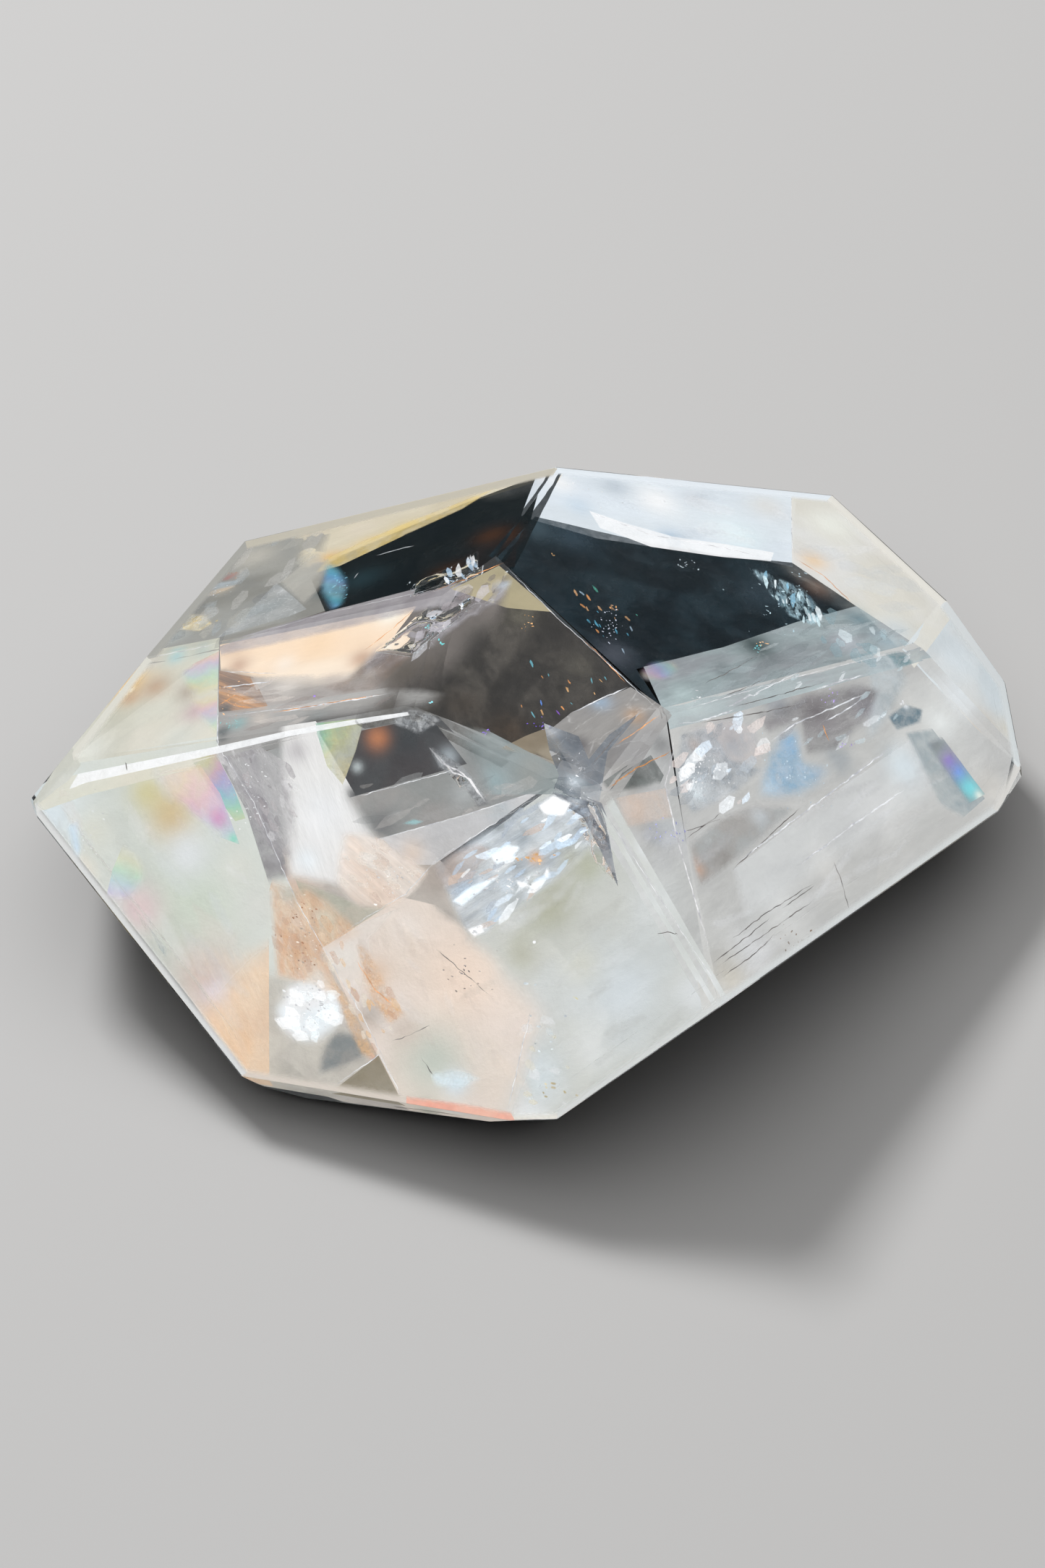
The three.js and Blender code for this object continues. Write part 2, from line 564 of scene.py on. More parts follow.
# Finest step in mm, steps over the longest way, and the room in mm that a relief leaves under the facets.
# Waves are the relief's roughness, how each finer wave is scaled, and how many there are.
meshing = {"finest": 0.35, "across": 40, "reliefRoom": 0.25, "waves": (0.8, 2.0, 3)}


def softness(p, sides, softs, step):
    # how much of the sheet is left at a point, with each edge fading over its own width
    level = 1.0
    for (a, b), width in zip(sides, softs):
        if width >= step:
            t = min(1.0, edgeDistance(p, a, b) / width)
            level *= t * t * (3 - 2 * t)
    return level


def makeSheet(given):
    # a thin sheet on its plane, cut off inside the stone, with a small relief of its own
    spec = {**plain, **given}
    normal, anchor, toFlat = layOut(spec)
    across, upward = planeAxes(normal)
    outline = [toFlat(spot) for spot in spec["seen"]]
    longest = max((a - b).length for a in outline for b in outline)
    step = spec.get("step", max(meshing["finest"], longest / meshing["across"]))
    flat, faces = fillOutline(outline, step)
    centre = middle(spec["seen"])
    run = toFlat((centre[0] + spec["run"][0], centre[1] + spec["run"][1])) - toFlat(centre)
    turn = math.atan2(run.y, run.x)
    tints = [(toFlat(spot), radius, Vector(color)) for spot, radius, color in spec["spots"]]
    color = Vector(spec["color"])
    tint = Vector(spec["tint"] or spec["color"])
    bm = bmesh.new()
    uv = bm.loops.layers.uv.new("plane")
    fade = bm.verts.layers.float.new("fade")
    bumpLayer = bm.verts.layers.float.new("bump")
    layers = {name: bm.verts.layers.float_color.new(name) for name in ("tone", "tint", *lookLayers)}
    sides = sidesOf(outline)
    softs = spec["soft"] if isinstance(spec["soft"], (list, tuple)) else [spec["soft"]] * len(sides)
    for p in flat:
        vert = bm.verts.new(anchor + (across * p.x + upward * p.y) * mm)
        vert[fade] = softness(p, sides, softs, step)
        vert[bumpLayer] = spec["bump"]
        vert[layers["tone"]] = (*tintAt(p, color, tints), 1)
        vert[layers["tint"]] = (*tintAt(p, tint, tints), 1)
        for name, keys in lookLayers.items():
            vert[layers[name]] = [spec[key] for key in keys]
    bm.verts.ensure_lookup_table()
    for face in faces:
        if len(set(face)) == 3:
            bm.faces.new([bm.verts[i] for i in face])
    cutInside(bm, spec["skin"] * mm)
    for vert in bm.verts:
        local = vert.co - anchor
        p = Vector((local.dot(across), local.dot(upward), 0)) / mm
        room = min(reach - facetNormal.dot(vert.co) for facetNormal, reach in facetPlanes) / mm
        wave = noise.fractal(p / spec["ripple"], *meshing["waves"])
        lift = spec["relief"] * wave * min(1.0, max(0.0, room - meshing["reliefRoom"]))
        vert.co += normal * lift * mm
    bm.normal_update()
    for face in bm.faces:
        face.smooth = True
        for loop in face.loops:
            local = loop.vert.co - anchor
            p = Vector((local.dot(across), local.dot(upward))) / mm
            loop[uv].uv = (p.x * math.cos(turn) + p.y * math.sin(turn),
                           p.y * math.cos(turn) - p.x * math.sin(turn))
    return bm


def joinSheets(sheets):
    whole = bmesh.new()
    for bm in sheets:
        part = bpy.data.meshes.new("part")
        bm.to_mesh(part)
        bm.free()
        whole.from_mesh(part)
        bpy.data.meshes.remove(part)
    return whole


# Thick milk is smoother than thin, and its bump is 0.2 mm deep.
veilLook = {"specular": 0.15, "roughness": (0.6, 0.3), "fullHeight": 1.5, "bump": 0.2 * mm}


def makeVeilMaterial(look):
    mat, tree, bsdf = newMaterial("veil")
    place = node(tree, "ShaderNodeUVMap", uv_map="plane").outputs[0]

    def layer(name):
        return node(tree, "ShaderNodeAttribute", attribute_name=name).outputs

    values = {"Vector": place, "Tone": layer("tone")["Color"], "Tint": layer("tint")["Color"],
              "Fade": layer("fade")["Fac"]}
    labels = {
        "milk": ("Cover", "Contrast", "Size", "Stretch"),
        "marks": ("Bands", "Band Size", "Web", "Grit"),
        "sheen": ("Film", "Width", "Start", "Warp"),
    }
    for name, names in labels.items():
        source = layer(name)
        split = node(tree, "ShaderNodeSeparateColor")
        tree.links.new(source["Color"], split.inputs[0])
        values.update(zip(names, [*split.outputs, source["Alpha"]]))
    amount = values.pop("Film")
    filmValues = {name: values.pop(name) for name in ("Width", "Start", "Warp")}
    milk = placeGroup(tree, cloud, values)
    rainbow = placeGroup(tree, film, {"Vector": place, **filmValues})
    tree.links.new(mixColor(tree, amount, milk["Color"], rainbow["Color"]), bsdf.inputs["Base Color"])
    tree.links.new(milk["Cover"], bsdf.inputs["Alpha"])
    rough = spread(tree, milk["Height"], 0.0, look["fullHeight"], *look["roughness"], smooth=False)
    tree.links.new(rough, bsdf.inputs["Roughness"])
    bsdf.inputs["Specular IOR Level"].default_value = look["specular"]
    bump = node(tree, "ShaderNodeBump")
    bump.inputs["Distance"].default_value = look["bump"]
    tree.links.new(layer("bump")["Fac"], bump.inputs["Strength"])
    tree.links.new(milk["Height"], bump.inputs["Height"])
    tree.links.new(bump.outputs[0], bsdf.inputs["Normal"])
    return mat


veil = makeVeilMaterial(veilLook)


def makeVeils(name, specs):
    obj = addPiece(name, joinSheets([makeSheet(spec) for spec in specs.values()]), [veil], "onVeils")
    print(name, len(specs), "sheets,", len(obj.data.polygons), "faces")
    return obj


# The sheets, region by region. Their corners are places in the camera's picture, in pixels, seen through the
# facet that lies at window, or at their middle. Besides inner clouds and cleavages, their colours hold
# painted
# light: reflections seen inside the stone and dark ground seen through it.
tipVeils = {
    # left tip, pearly on both sides of the crest
    "pearl": dict(
        seen=[(30, 1114), (110, 1060), (298, 1030), (350, 1120), (446, 1310), (470, 1400), (360, 1510),
            (190, 1340)],
        color=(0.74, 0.77, 0.71), tint=(0.78, 0.8, 0.74), cover=0.94, contrast=0.06, size=10,
        soft=[0, 0, 0, 0, 2, 2, 0, 0], bands=0.06,
        spots=[((265, 1240), 5, (0.68, 0.74, 0.62)), ((235, 1112), 1.8, (0.74, 0.64, 0.36)),
            ((205, 1098), 1.8, (0.72, 0.66, 0.36)), ((240, 1135), 2.2, (0.7, 0.52, 0.26)),
            ((255, 1080), 1.6, (0.9, 0.78, 0.82)), ((195, 1255), 2.2, (0.8, 0.62, 0.62)),
            ((290, 1350), 3.4, (0.74, 0.58, 0.5)), ((335, 1450), 4, (0.98, 0.66, 0.42)),
            ((302, 1372), 1.3, (0.92, 0.86, 0.96)), ((75, 1130), 3.5, (0.84, 0.92, 0.95)),
            ((112, 1205), 1.4, (1, 0.88, 0.72)), ((260, 1410), 2, (0.88, 0.72, 0.66)),
            ((130, 1150), 2, (0.8, 0.8, 0.7)), ((330, 1200), 2, (0.78, 0.78, 0.7)),
            ((360, 1250), 2.2, (0.74, 0.74, 0.68)), ((260, 1180), 2.4, (0.84, 0.86, 0.86))]),
    "pearlTop": dict(seen=[(36, 1112), (190, 905), (303, 885), (299, 1040), (112, 1085)],
        color=(0.74, 0.72, 0.6), tint=(0.76, 0.71, 0.6), cover=0.92, contrast=0.12, size=7,
        spots=[((178, 945), 2.2, (0.95, 0.62, 0.26)), ((215, 950), 1.6, (0.62, 0.44, 0.3)),
            ((262, 955), 1.5, (0.46, 0.38, 0.3)), ((180, 965), 1, (0.7, 0.5, 0.34)),
            ((244, 908), 1, (0.5, 0.7, 0.7)), ((270, 985), 1.4, (0.62, 0.46, 0.46)),
            ((120, 1040), 3, (0.78, 0.78, 0.7)), ((210, 915), 1.2, (0.72, 0.68, 0.6)),
            ((280, 900), 1, (0.6, 0.66, 0.6)), ((245, 1020), 2, (0.7, 0.7, 0.62))]),
    "fibres": dict(seen=[(255, 1300), (372, 1300), (374, 1490), (320, 1480), (262, 1400)],
        depth=1.6, color=(1, 0.8, 0.62), cover=0.35, contrast=1.3, size=1.2, stretch=10, run=(45, 85),
        bands=0.4, bandSize=0.5, soft=[1.5, 1, 0, 1, 1.5]),
    "peachFoot": dict(seen=[(340, 1300), (373, 1290), (374, 1500), (330, 1495), (250, 1400)],
        depth=2.4, color=(1, 0.7, 0.46), tint=(0.9, 0.62, 0.42), cover=0.75, contrast=0.15, size=3,
        soft=[2, 0, 0, 1, 3]),
    "blueStreak": dict(seen=[(88, 1140), (112, 1126), (118, 1180), (104, 1200)],
        depth=1.5, soft=0.8, color=(0.7, 0.86, 1), cover=0.8, step=0.2),
    "hotStreak": dict(seen=[(160, 956), (184, 934), (192, 950), (170, 972)],
        depth=1.6, soft=0.5, step=0.2, color=(1, 0.8, 0.45), tint=(1, 0.95, 0.8), cover=0.8, contrast=1,
        size=0.8),
    "goldGlow": dict(seen=[(246, 862), (262, 848), (286, 850), (296, 862), (276, 874), (250, 872)],
        depth=1.8, soft=0.4, step=0.2, color=(1, 0.84, 0.5), tint=(1, 0.97, 0.85), cover=0.95, contrast=0.6,
        size=0.9),
    "tipFacet": dict(seen=[(38, 1120), (98, 1030), (112, 1062)],
        window=(84, 1070), depth=0.5, skin=0.08, color=(0.7, 0.7, 0.62), tint=(0.8, 0.8, 0.74), cover=0.95,
        contrast=0.1, relief=0),
}
tipFilms = {
    "teal": dict(seen=[(268, 1056), (300, 1046), (324, 1090), (340, 1132), (326, 1136), (296, 1096)],
        depth=2, cover=0.85, size=3, color=(0.4, 0.52, 0.52), film=0.5, filmWidth=9, filmStart=0.28,
        warp=0.4, run=(40, 80)),
    "pink": dict(
        seen=[(205, 1068), (275, 1056), (305, 1098), (332, 1168), (300, 1156), (250, 1120), (215, 1092)],
        depth=1.9, cover=0.8, contrast=0.15, size=3, color=(0.9, 0.76, 0.74), film=0.4, filmWidth=16,
        filmStart=0.12, run=(50, 75), soft=[0.6, 0, 0, 0, 1, 1.4, 1.4], step=0.3,
        spots=[((304, 1132), 0.9, (0.95, 0.3, 0.42)), ((324, 1160), 0.5, (0.3, 0.85, 0.5))]),
    "arc": dict(seen=[(147, 1246), (156, 1204), (172, 1166), (200, 1182), (212, 1216), (182, 1252)],
        depth=2.2, soft=[0, 0, 0.5, 1.5, 1.5, 1.2], step=0.25, cover=0.75, contrast=0.1,
        color=(0.8, 0.8, 0.76), film=0.4, filmWidth=8, filmStart=0.62, warp=0.1, run=(20, -80)),
    "topRainbow": dict(seen=[(244, 930), (262, 920), (303, 900), (299, 1020), (268, 990)],
        depth=2, cover=0.7, color=(0.66, 0.62, 0.52), film=0.4, filmWidth=7, filmStart=0.62, warp=0.5,
        run=(-20, 80), soft=[0.8, 0, 0, 1, 1.2], step=0.3),
    "paneRainbow": dict(seen=[(436, 1008), (502, 1002), (492, 1040), (474, 1086), (452, 1060)],
        depth=2, cover=0.8, contrast=0.4, size=2, color=(0.5, 0.52, 0.4), film=0.45, filmWidth=9,
        filmStart=0.68, warp=0.5, run=(60, 40)),
    "endRainbow": dict(seen=[(1274, 1026), (1300, 1016), (1362, 1098), (1338, 1112)],
        depth=2, cover=0.92, color=(0.24, 0.32, 0.4), film=0.12, filmWidth=9, filmStart=0.36, warp=0.1,
        run=(60, 66), soft=[0.8, 0, 0, 0.8], step=0.25, contrast=0.1,
        spots=[((1312, 1052), 0.8, (0.26, 0.24, 0.62)), ((1326, 1068), 0.8, (0.2, 0.36, 0.85)),
            ((1342, 1090), 1.2, (0.22, 0.78, 0.9)), ((1290, 1026), 1, (0.16, 0.2, 0.26)),
            ((1354, 1100), 0.5, (0.9, 0.98, 0.95))]),
    "shelfViolet": dict(seen=[(880, 930), (900, 912), (935, 912), (945, 925), (925, 942), (890, 944)],
        depth=2.3, soft=0.9, step=0.25, cover=0.6, color=(0.4, 0.4, 0.55), film=0.35, filmWidth=6,
        filmStart=0.3),
    # painted glint: a bright blue streak at the edge of the dark window, with a light thin-film tint
    "blueGlint": dict(seen=[(442, 780), (466, 776), (486, 804), (478, 836), (456, 848), (438, 816)],
        depth=2.4, soft=1.1, step=0.25, cover=0.9, contrast=0.3, size=2.4, color=(0.22, 0.62, 0.9),
        tint=(0.1, 0.3, 0.42), film=0.15, bump=0.2),
}
rimVeils = {
    # the milky rim that runs round the back
    "left": dict(seen=[(192, 915), (330, 738), (470, 700), (450, 770), (478, 800), (480, 835), (303, 892)],
        color=(0.42, 0.41, 0.37), tint=(0.38, 0.38, 0.36), contrast=0.12, soft=[0, 0, 1, 0.8, 1.2, 0, 0],
        bands=0, run=(90, -25),
        spots=[((300, 790), 1.2, (0.14, 0.13, 0.12)), ((318, 797), 0.5, (0.6, 0.12, 0.1)),
            ((268, 860), 1.2, (0.9, 0.7, 0.4)), ((372, 840), 1.6, (0.34, 0.4, 0.4)),
            ((415, 800), 2, (0.62, 0.62, 0.58)), ((236, 880), 1.6, (0.62, 0.66, 0.64)),
            ((350, 770), 2.4, (0.64, 0.6, 0.52)), ((310, 815), 1, (0.66, 0.6, 0.5)),
            ((460, 815), 1.6, (0.08, 0.14, 0.16)), ((440, 765), 1.6, (0.6, 0.56, 0.46)),
            ((330, 865), 1.4, (0.5, 0.5, 0.48))]),
    "gold": dict(seen=[(395, 728), (775, 634), (757, 662), (640, 697), (450, 780), (415, 790)],
        color=(0.92, 0.82, 0.62), tint=(0.9, 0.82, 0.64), cover=0.93, contrast=0.06, size=6, stretch=4,
        soft=[0, 0, 0, 0, 1, 1.5], run=(100, -35), bands=0.05, bandSize=0.8,
        spots=[((455, 772), 1.6, (1, 0.66, 0.28)), ((510, 752), 1.8, (1, 0.74, 0.3)),
            ((560, 732), 1.8, (1, 0.78, 0.32)), ((610, 716), 1.4, (0.85, 0.62, 0.28)),
            ((650, 696), 1.2, (0.98, 0.76, 0.4)), ((735, 655), 1.8, (0.95, 0.93, 0.9)),
            ((430, 735), 2, (0.76, 0.68, 0.54)), ((560, 700), 1.8, (0.95, 0.86, 0.68)),
            ((500, 730), 1.8, (0.95, 0.84, 0.66))]),
    "blue": dict(
        seen=[(758, 634), (1104, 664), (1098, 720), (1096, 784), (1060, 776), (1000, 768), (900, 756),
            (824, 744), (734, 718)],
        color=(0.8, 0.86, 0.9), tint=(0.78, 0.84, 0.9), cover=0.97, contrast=0.06, size=4, stretch=2,
        soft=[0, 0, 0, 0, 0, 0, 0, 0, 0], run=(100, 15), bands=0.06,
        spots=[((908, 692), 2.2, (1, 1, 1)), ((775, 668), 1.4, (1, 1, 1)),
            ((850, 672), 1.6, (0.6, 0.66, 0.72)), ((1020, 740), 2.4, (0.85, 0.97, 1)),
            ((1060, 700), 2, (0.8, 0.8, 0.78)), ((960, 690), 1.5, (0.7, 0.74, 0.78)),
            ((800, 700), 1.5, (0.65, 0.75, 0.84)), ((930, 745), 1.4, (0.5, 0.62, 0.74))]),
    "arc": dict(
        seen=[(815, 706), (860, 722), (930, 742), (1000, 752), (1070, 764), (1066, 776), (1000, 770),
            (900, 756), (830, 730)],
        depth=2.6, color=(1, 1, 1), cover=0.92),
    "beige": dict(seen=[(1094, 664), (1150, 668), (1325, 829), (1262, 915), (1184, 838), (1095, 778)],
        color=(0.76, 0.73, 0.65), tint=(0.8, 0.8, 0.79), cover=0.94, contrast=0.05, size=8, run=(30, 95),
        bands=0, depth=2.7,
        spots=[((1125, 775), 1.5, (0.86, 0.66, 0.46)), ((1180, 850), 1.6, (0.42, 0.5, 0.5)),
            ((1150, 725), 2.5, (0.88, 0.88, 0.8)), ((1235, 760), 2, (0.9, 0.86, 0.8)),
            ((1240, 870), 2, (0.72, 0.76, 0.76))]),
    "end": dict(seen=[(1256, 900), (1325, 815), (1402, 938), (1428, 1070), (1350, 1000)],
        color=(0.8, 0.87, 0.9), tint=(0.84, 0.84, 0.82), cover=0.94, contrast=0.06, size=6, run=(50, 90),
        bands=0,
        spots=[((1362, 1005), 2.2, (0.76, 0.68, 0.58)), ((1320, 910), 2.5, (0.84, 0.9, 0.93)),
            ((1395, 1010), 1.6, (0.85, 0.8, 0.7))]),
    "tealMark": dict(seen=[(1220, 903), (1244, 899), (1266, 910), (1240, 920)],
        depth=2, soft=0.4, step=0.2, color=(0.12, 0.24, 0.27), cover=0.85, contrast=0.6, size=1.2),
    "frostTip": dict(
        seen=[(300, 882), (340, 850), (382, 806), (402, 822), (424, 842), (400, 852), (340, 870)],
        depth=1.6, color=(0.48, 0.5, 0.5), tint=(0.62, 0.63, 0.62), cover=0.8, contrast=0.3, size=2,
        web=0.3,
        spots=[((395, 815), 0.8, (0.85, 0.86, 0.86))]),
    "palePane": dict(seen=[(385, 805), (440, 760), (462, 775), (448, 812), (420, 840)],
        depth=2.2, color=(0.66, 0.63, 0.56), cover=0.7, soft=[0.5, 1, 1, 1, 0.5], step=0.3),
    "smear": dict(seen=[(262, 828), (292, 806), (334, 800), (325, 812), (290, 826)],
        depth=1.4, soft=0.4, step=0.2, color=(0.62, 0.76, 0.86), tint=(0.9, 0.66, 0.42), cover=0.7,
        contrast=0.6, size=1.5, stretch=3, run=(70, -20)),
    "goldEdge": dict(
        seen=[(436, 792), (452, 770), (560, 722), (640, 692), (694, 670), (640, 704), (560, 740),
            (470, 782)],
        depth=2.4, color=(1, 0.76, 0.3), tint=(1, 0.86, 0.56), cover=0.75,
        soft=[0.3, 0.5, 0.5, 0.4, 0.3, 0.3, 0, 0], step=0.25, size=2),
}
bandVeils = {
    # peach and grey bands under the top left facet
    "grey": dict(seen=[(303, 889), (450, 846), (560, 818), (640, 795), (612, 832), (450, 870), (305, 900)],
        depth=2.2, color=(0.55, 0.52, 0.54), tint=(0.4, 0.37, 0.4), cover=0.8, size=3, run=(100, -25),
        bands=0.2, soft=[0, 0, 0, 0.6, 0.8, 0.8, 0]),
    "peach": dict(seen=[(304, 892), (576, 838), (530, 900), (470, 960), (385, 952), (305, 932)],
        color=(1, 0.77, 0.56), tint=(1, 0.86, 0.7), cover=0.99, contrast=0.04, size=6, stretch=3,
        soft=[0, 0, 1.4, 2, 1.2, 0], run=(100, -20), bands=0.03, bandSize=0.7,
        spots=[((395, 918), 1.2, (1, 0.86, 0.72)), ((540, 850), 1.6, (1, 0.93, 0.8)),
            ((500, 910), 1.3, (0.62, 0.42, 0.3)), ((322, 898), 1.6, (0.8, 0.6, 0.44)),
            ((440, 890), 2.2, (1, 0.74, 0.5)), ((330, 920), 1.2, (0.66, 0.46, 0.34)),
            ((460, 945), 1.2, (0.6, 0.46, 0.38))]),
    "ember": dict(seen=[(303, 927), (350, 936), (372, 980), (302, 988)],
        depth=2.8, color=(0.34, 0.22, 0.16), tint=(0.9, 0.46, 0.2), cover=0.92, contrast=0.3, size=1.2,
        stretch=6, bands=0.8, bandSize=0.4, run=(70, 25),
        spots=[((312, 980), 0.8, (0.1, 0.1, 0.1))]),
    "paleStep": dict(seen=[(345, 934), (440, 930), (540, 920), (540, 960), (372, 990)],
        depth=2.8, color=(0.56, 0.52, 0.48), tint=(0.46, 0.42, 0.4), cover=0.85, contrast=0.35, size=2.5,
        stretch=4, soft=[0.6, 1.2, 2.5, 0.6, 0.4], run=(100, -18), bands=0.15,
        spots=[((395, 950), 1.5, (0.8, 0.74, 0.68))]),
    "lowerStep": dict(
        seen=[(302, 985), (372, 976), (540, 950), (620, 950), (580, 985), (430, 1006), (300, 1038)],
        depth=2.2, color=(0.5, 0.49, 0.47), tint=(0.36, 0.35, 0.34), cover=0.85, contrast=0.35, size=2.5,
        stretch=4, soft=[0, 0, 1, 2, 2, 0, 0], run=(100, -18), bands=0.2,
        spots=[((308, 1012), 0.8, (0.05, 0.08, 0.09)), ((330, 1000), 0.8, (0.3, 0.5, 0.5)),
            ((360, 992), 1, (0.66, 0.6, 0.54)), ((440, 990), 1.2, (0.42, 0.44, 0.43)),
            ((540, 975), 1.4, (0.14, 0.13, 0.12))]),
    "frostedCorner": dict(seen=[(535, 1000), (560, 984), (584, 984), (612, 1000), (580, 1018)],
        depth=1.2, color=(0.8, 0.82, 0.84), cover=0.85, contrast=0.9, size=1, grit=0.8, bump=1, soft=0.4,
        step=0.2),
    "smoke": dict(seen=[(500, 900), (570, 858), (600, 835), (650, 800), (708, 780), (690, 815), (640, 850),
            (575, 905), (520, 940), (495, 938)],
        depth=3.5, color=(0.3, 0.27, 0.28), tint=(0.52, 0.5, 0.54), cover=0.8, contrast=0.6, size=2.2,
        stretch=2.5, soft=0.9, step=0.3, relief=0.5, ripple=2, web=0.3, run=(80, -55), bands=0.2, bump=0.8,
        grit=0.1,
        spots=[((510, 930), 1, (0.85, 0.85, 0.86)), ((690, 790), 1, (0.75, 0.85, 0.95)),
            ((610, 885), 0.7, (0.2, 0.6, 0.65)), ((625, 812), 1.2, (0.55, 0.3, 0.2))]),
    "beigeWedge": dict(seen=[(690, 782), (764, 846), (700, 840), (625, 815)],
        depth=1.4, color=(0.45, 0.385, 0.23), cover=0.9, contrast=0.15, bands=0.1),
    # painted shade: a dark red-brown sheet deepening the dark window under the top left facet
    "redBrownShade": dict(seen=[(560, 826), (640, 796), (700, 772), (704, 735), (660, 748), (610, 786)],
        color=(0.2, 0.07, 0.03), tint=(0.06, 0.03, 0.02), cover=0.7, contrast=0.3, size=2,
        soft=[0, 0, 0, 2.5, 2.5, 2], step=0.3),
    "darkTail": dict(
        seen=[(440, 950), (480, 936), (540, 890), (570, 868), (580, 900), (520, 955), (470, 962)],
        depth=2.6, color=(0.16, 0.1, 0.07), tint=(0.3, 0.2, 0.14), cover=0.5, contrast=0.5, size=1.4,
        soft=0.6, step=0.3),
}
paintedShadeVeils = {
    # painted shade: near-black sheets standing for the dark ground seen through the clear stone, tinted
    # brown, olive or teal
    "teal": dict(
        seen=[(740, 714), (824, 734), (905, 752), (1000, 768), (1095, 778), (1184, 838), (1102, 860),
            (1000, 895), (880, 925), (919, 984), (688, 770)],
        depth=2.8, color=(0.006, 0.013, 0.018), tint=(0.016, 0.034, 0.045), cover=0.93, size=4, bands=0.1,
        bandSize=2.5, run=(100, -35),
        spots=[((735, 725), 2.4, (0.05, 0.085, 0.105)), ((790, 740), 2.4, (0.03, 0.055, 0.075)),
            ((1050, 822), 2.2, (0.03, 0.05, 0.065)), ((850, 905), 2, (0.07, 0.08, 0.1)),
            ((1130, 812), 1.4, (0.1, 0.05, 0.03)), ((760, 830), 2.5, (0.012, 0.025, 0.034))]),
    "olive": dict(
        seen=[(690, 838), (764, 846), (905, 985), (850, 1010), (790, 985), (757, 1012), (700, 1048),
            (612, 1002), (560, 986), (430, 1004), (520, 948), (575, 908), (640, 855)],
        depth=3.2, color=(0.014, 0.011, 0.008), tint=(0.085, 0.074, 0.06), cover=0.93, contrast=0.6, size=3,
        bands=0.1, run=(10, 90), soft=[0, 0, 0, 0, 0, 0, 0, 0, 0, 3, 2.5, 2, 1], stretch=1.6,
        spots=[((700, 1010), 2.2, (0.045, 0.024, 0.008)), ((800, 920), 1.8, (0.075, 0.066, 0.05)),
            ((640, 975), 2, (0.035, 0.024, 0.014)), ((720, 850), 1.4, (0.11, 0.1, 0.07)),
            ((860, 975), 1.4, (0.11, 0.11, 0.11))]),
    "darkPane": dict(seen=[(500, 1012), (560, 1000), (600, 1000), (645, 1058), (484, 1104), (474, 1090)],
        depth=2.5, color=(0.045, 0.05, 0.055), tint=(0.05, 0.042, 0.045), cover=0.93, contrast=0.1,
        bands=0.05,
        spots=[((522, 1022), 1.1, (0.55, 0.2, 0.08)), ((494, 1062), 0.5, (0.5, 0.55, 0.55)),
            ((620, 1048), 0.9, (0.4, 0.45, 0.48))]),
    "taupePane": dict(seen=[(480, 1104), (645, 1060), (690, 1090), (640, 1128), (510, 1164)],
        depth=2.8, color=(0.32, 0.33, 0.32), tint=(0.4, 0.37, 0.35), bands=0.12, run=(90, -25),
        soft=[0, 1.2, 0, 0, 0],
        spots=[((530, 1140), 1.4, (0.2, 0.2, 0.2)), ((640, 1100), 1.2, (0.5, 0.52, 0.52))]),
    "bluePane": dict(seen=[(610, 1010), (660, 1010), (830, 1100), (752, 1100), (660, 1100)],
        depth=2.5, color=(0.3, 0.35, 0.35), cover=0.85, contrast=0.15, bands=0.12, run=(80, 40),
        soft=[1.5, 0, 0, 0, 2.5], tint=(0.4, 0.44, 0.44),
        spots=[((680, 1085), 1.4, (0.36, 0.48, 0.5)), ((640, 1050), 1.4, (0.2, 0.24, 0.24)),
            ((730, 1070), 1.4, (0.34, 0.36, 0.34))]),
    "navy": dict(seen=[(430, 800), (462, 772), (640, 697), (764, 650), (700, 775), (640, 800), (450, 846)],
        depth=2.8, color=(0.006, 0.012, 0.015), tint=(0.012, 0.018, 0.02), cover=0.93, contrast=0.05,
        soft=[1, 0, 0, 0, 0, 0, 0],
        spots=[((500, 800), 2.2, (0.02, 0.045, 0.055)), ((680, 740), 1.8, (0.07, 0.03, 0.015)),
            ((620, 790), 2, (0.05, 0.025, 0.014)), ((600, 730), 2, (0.004, 0.01, 0.014))]),
    "tanWedge": dict(seen=[(690, 1036), (726, 1018), (757, 1006), (776, 1026), (782, 1070), (742, 1048)],
        window=(745, 1034), depth=1.6, color=(0.3, 0.24, 0.16), tint=(0.42, 0.36, 0.27), cover=0.8,
        soft=[0, 0, 0, 0.4, 0.8, 0.6], step=0.3),
}
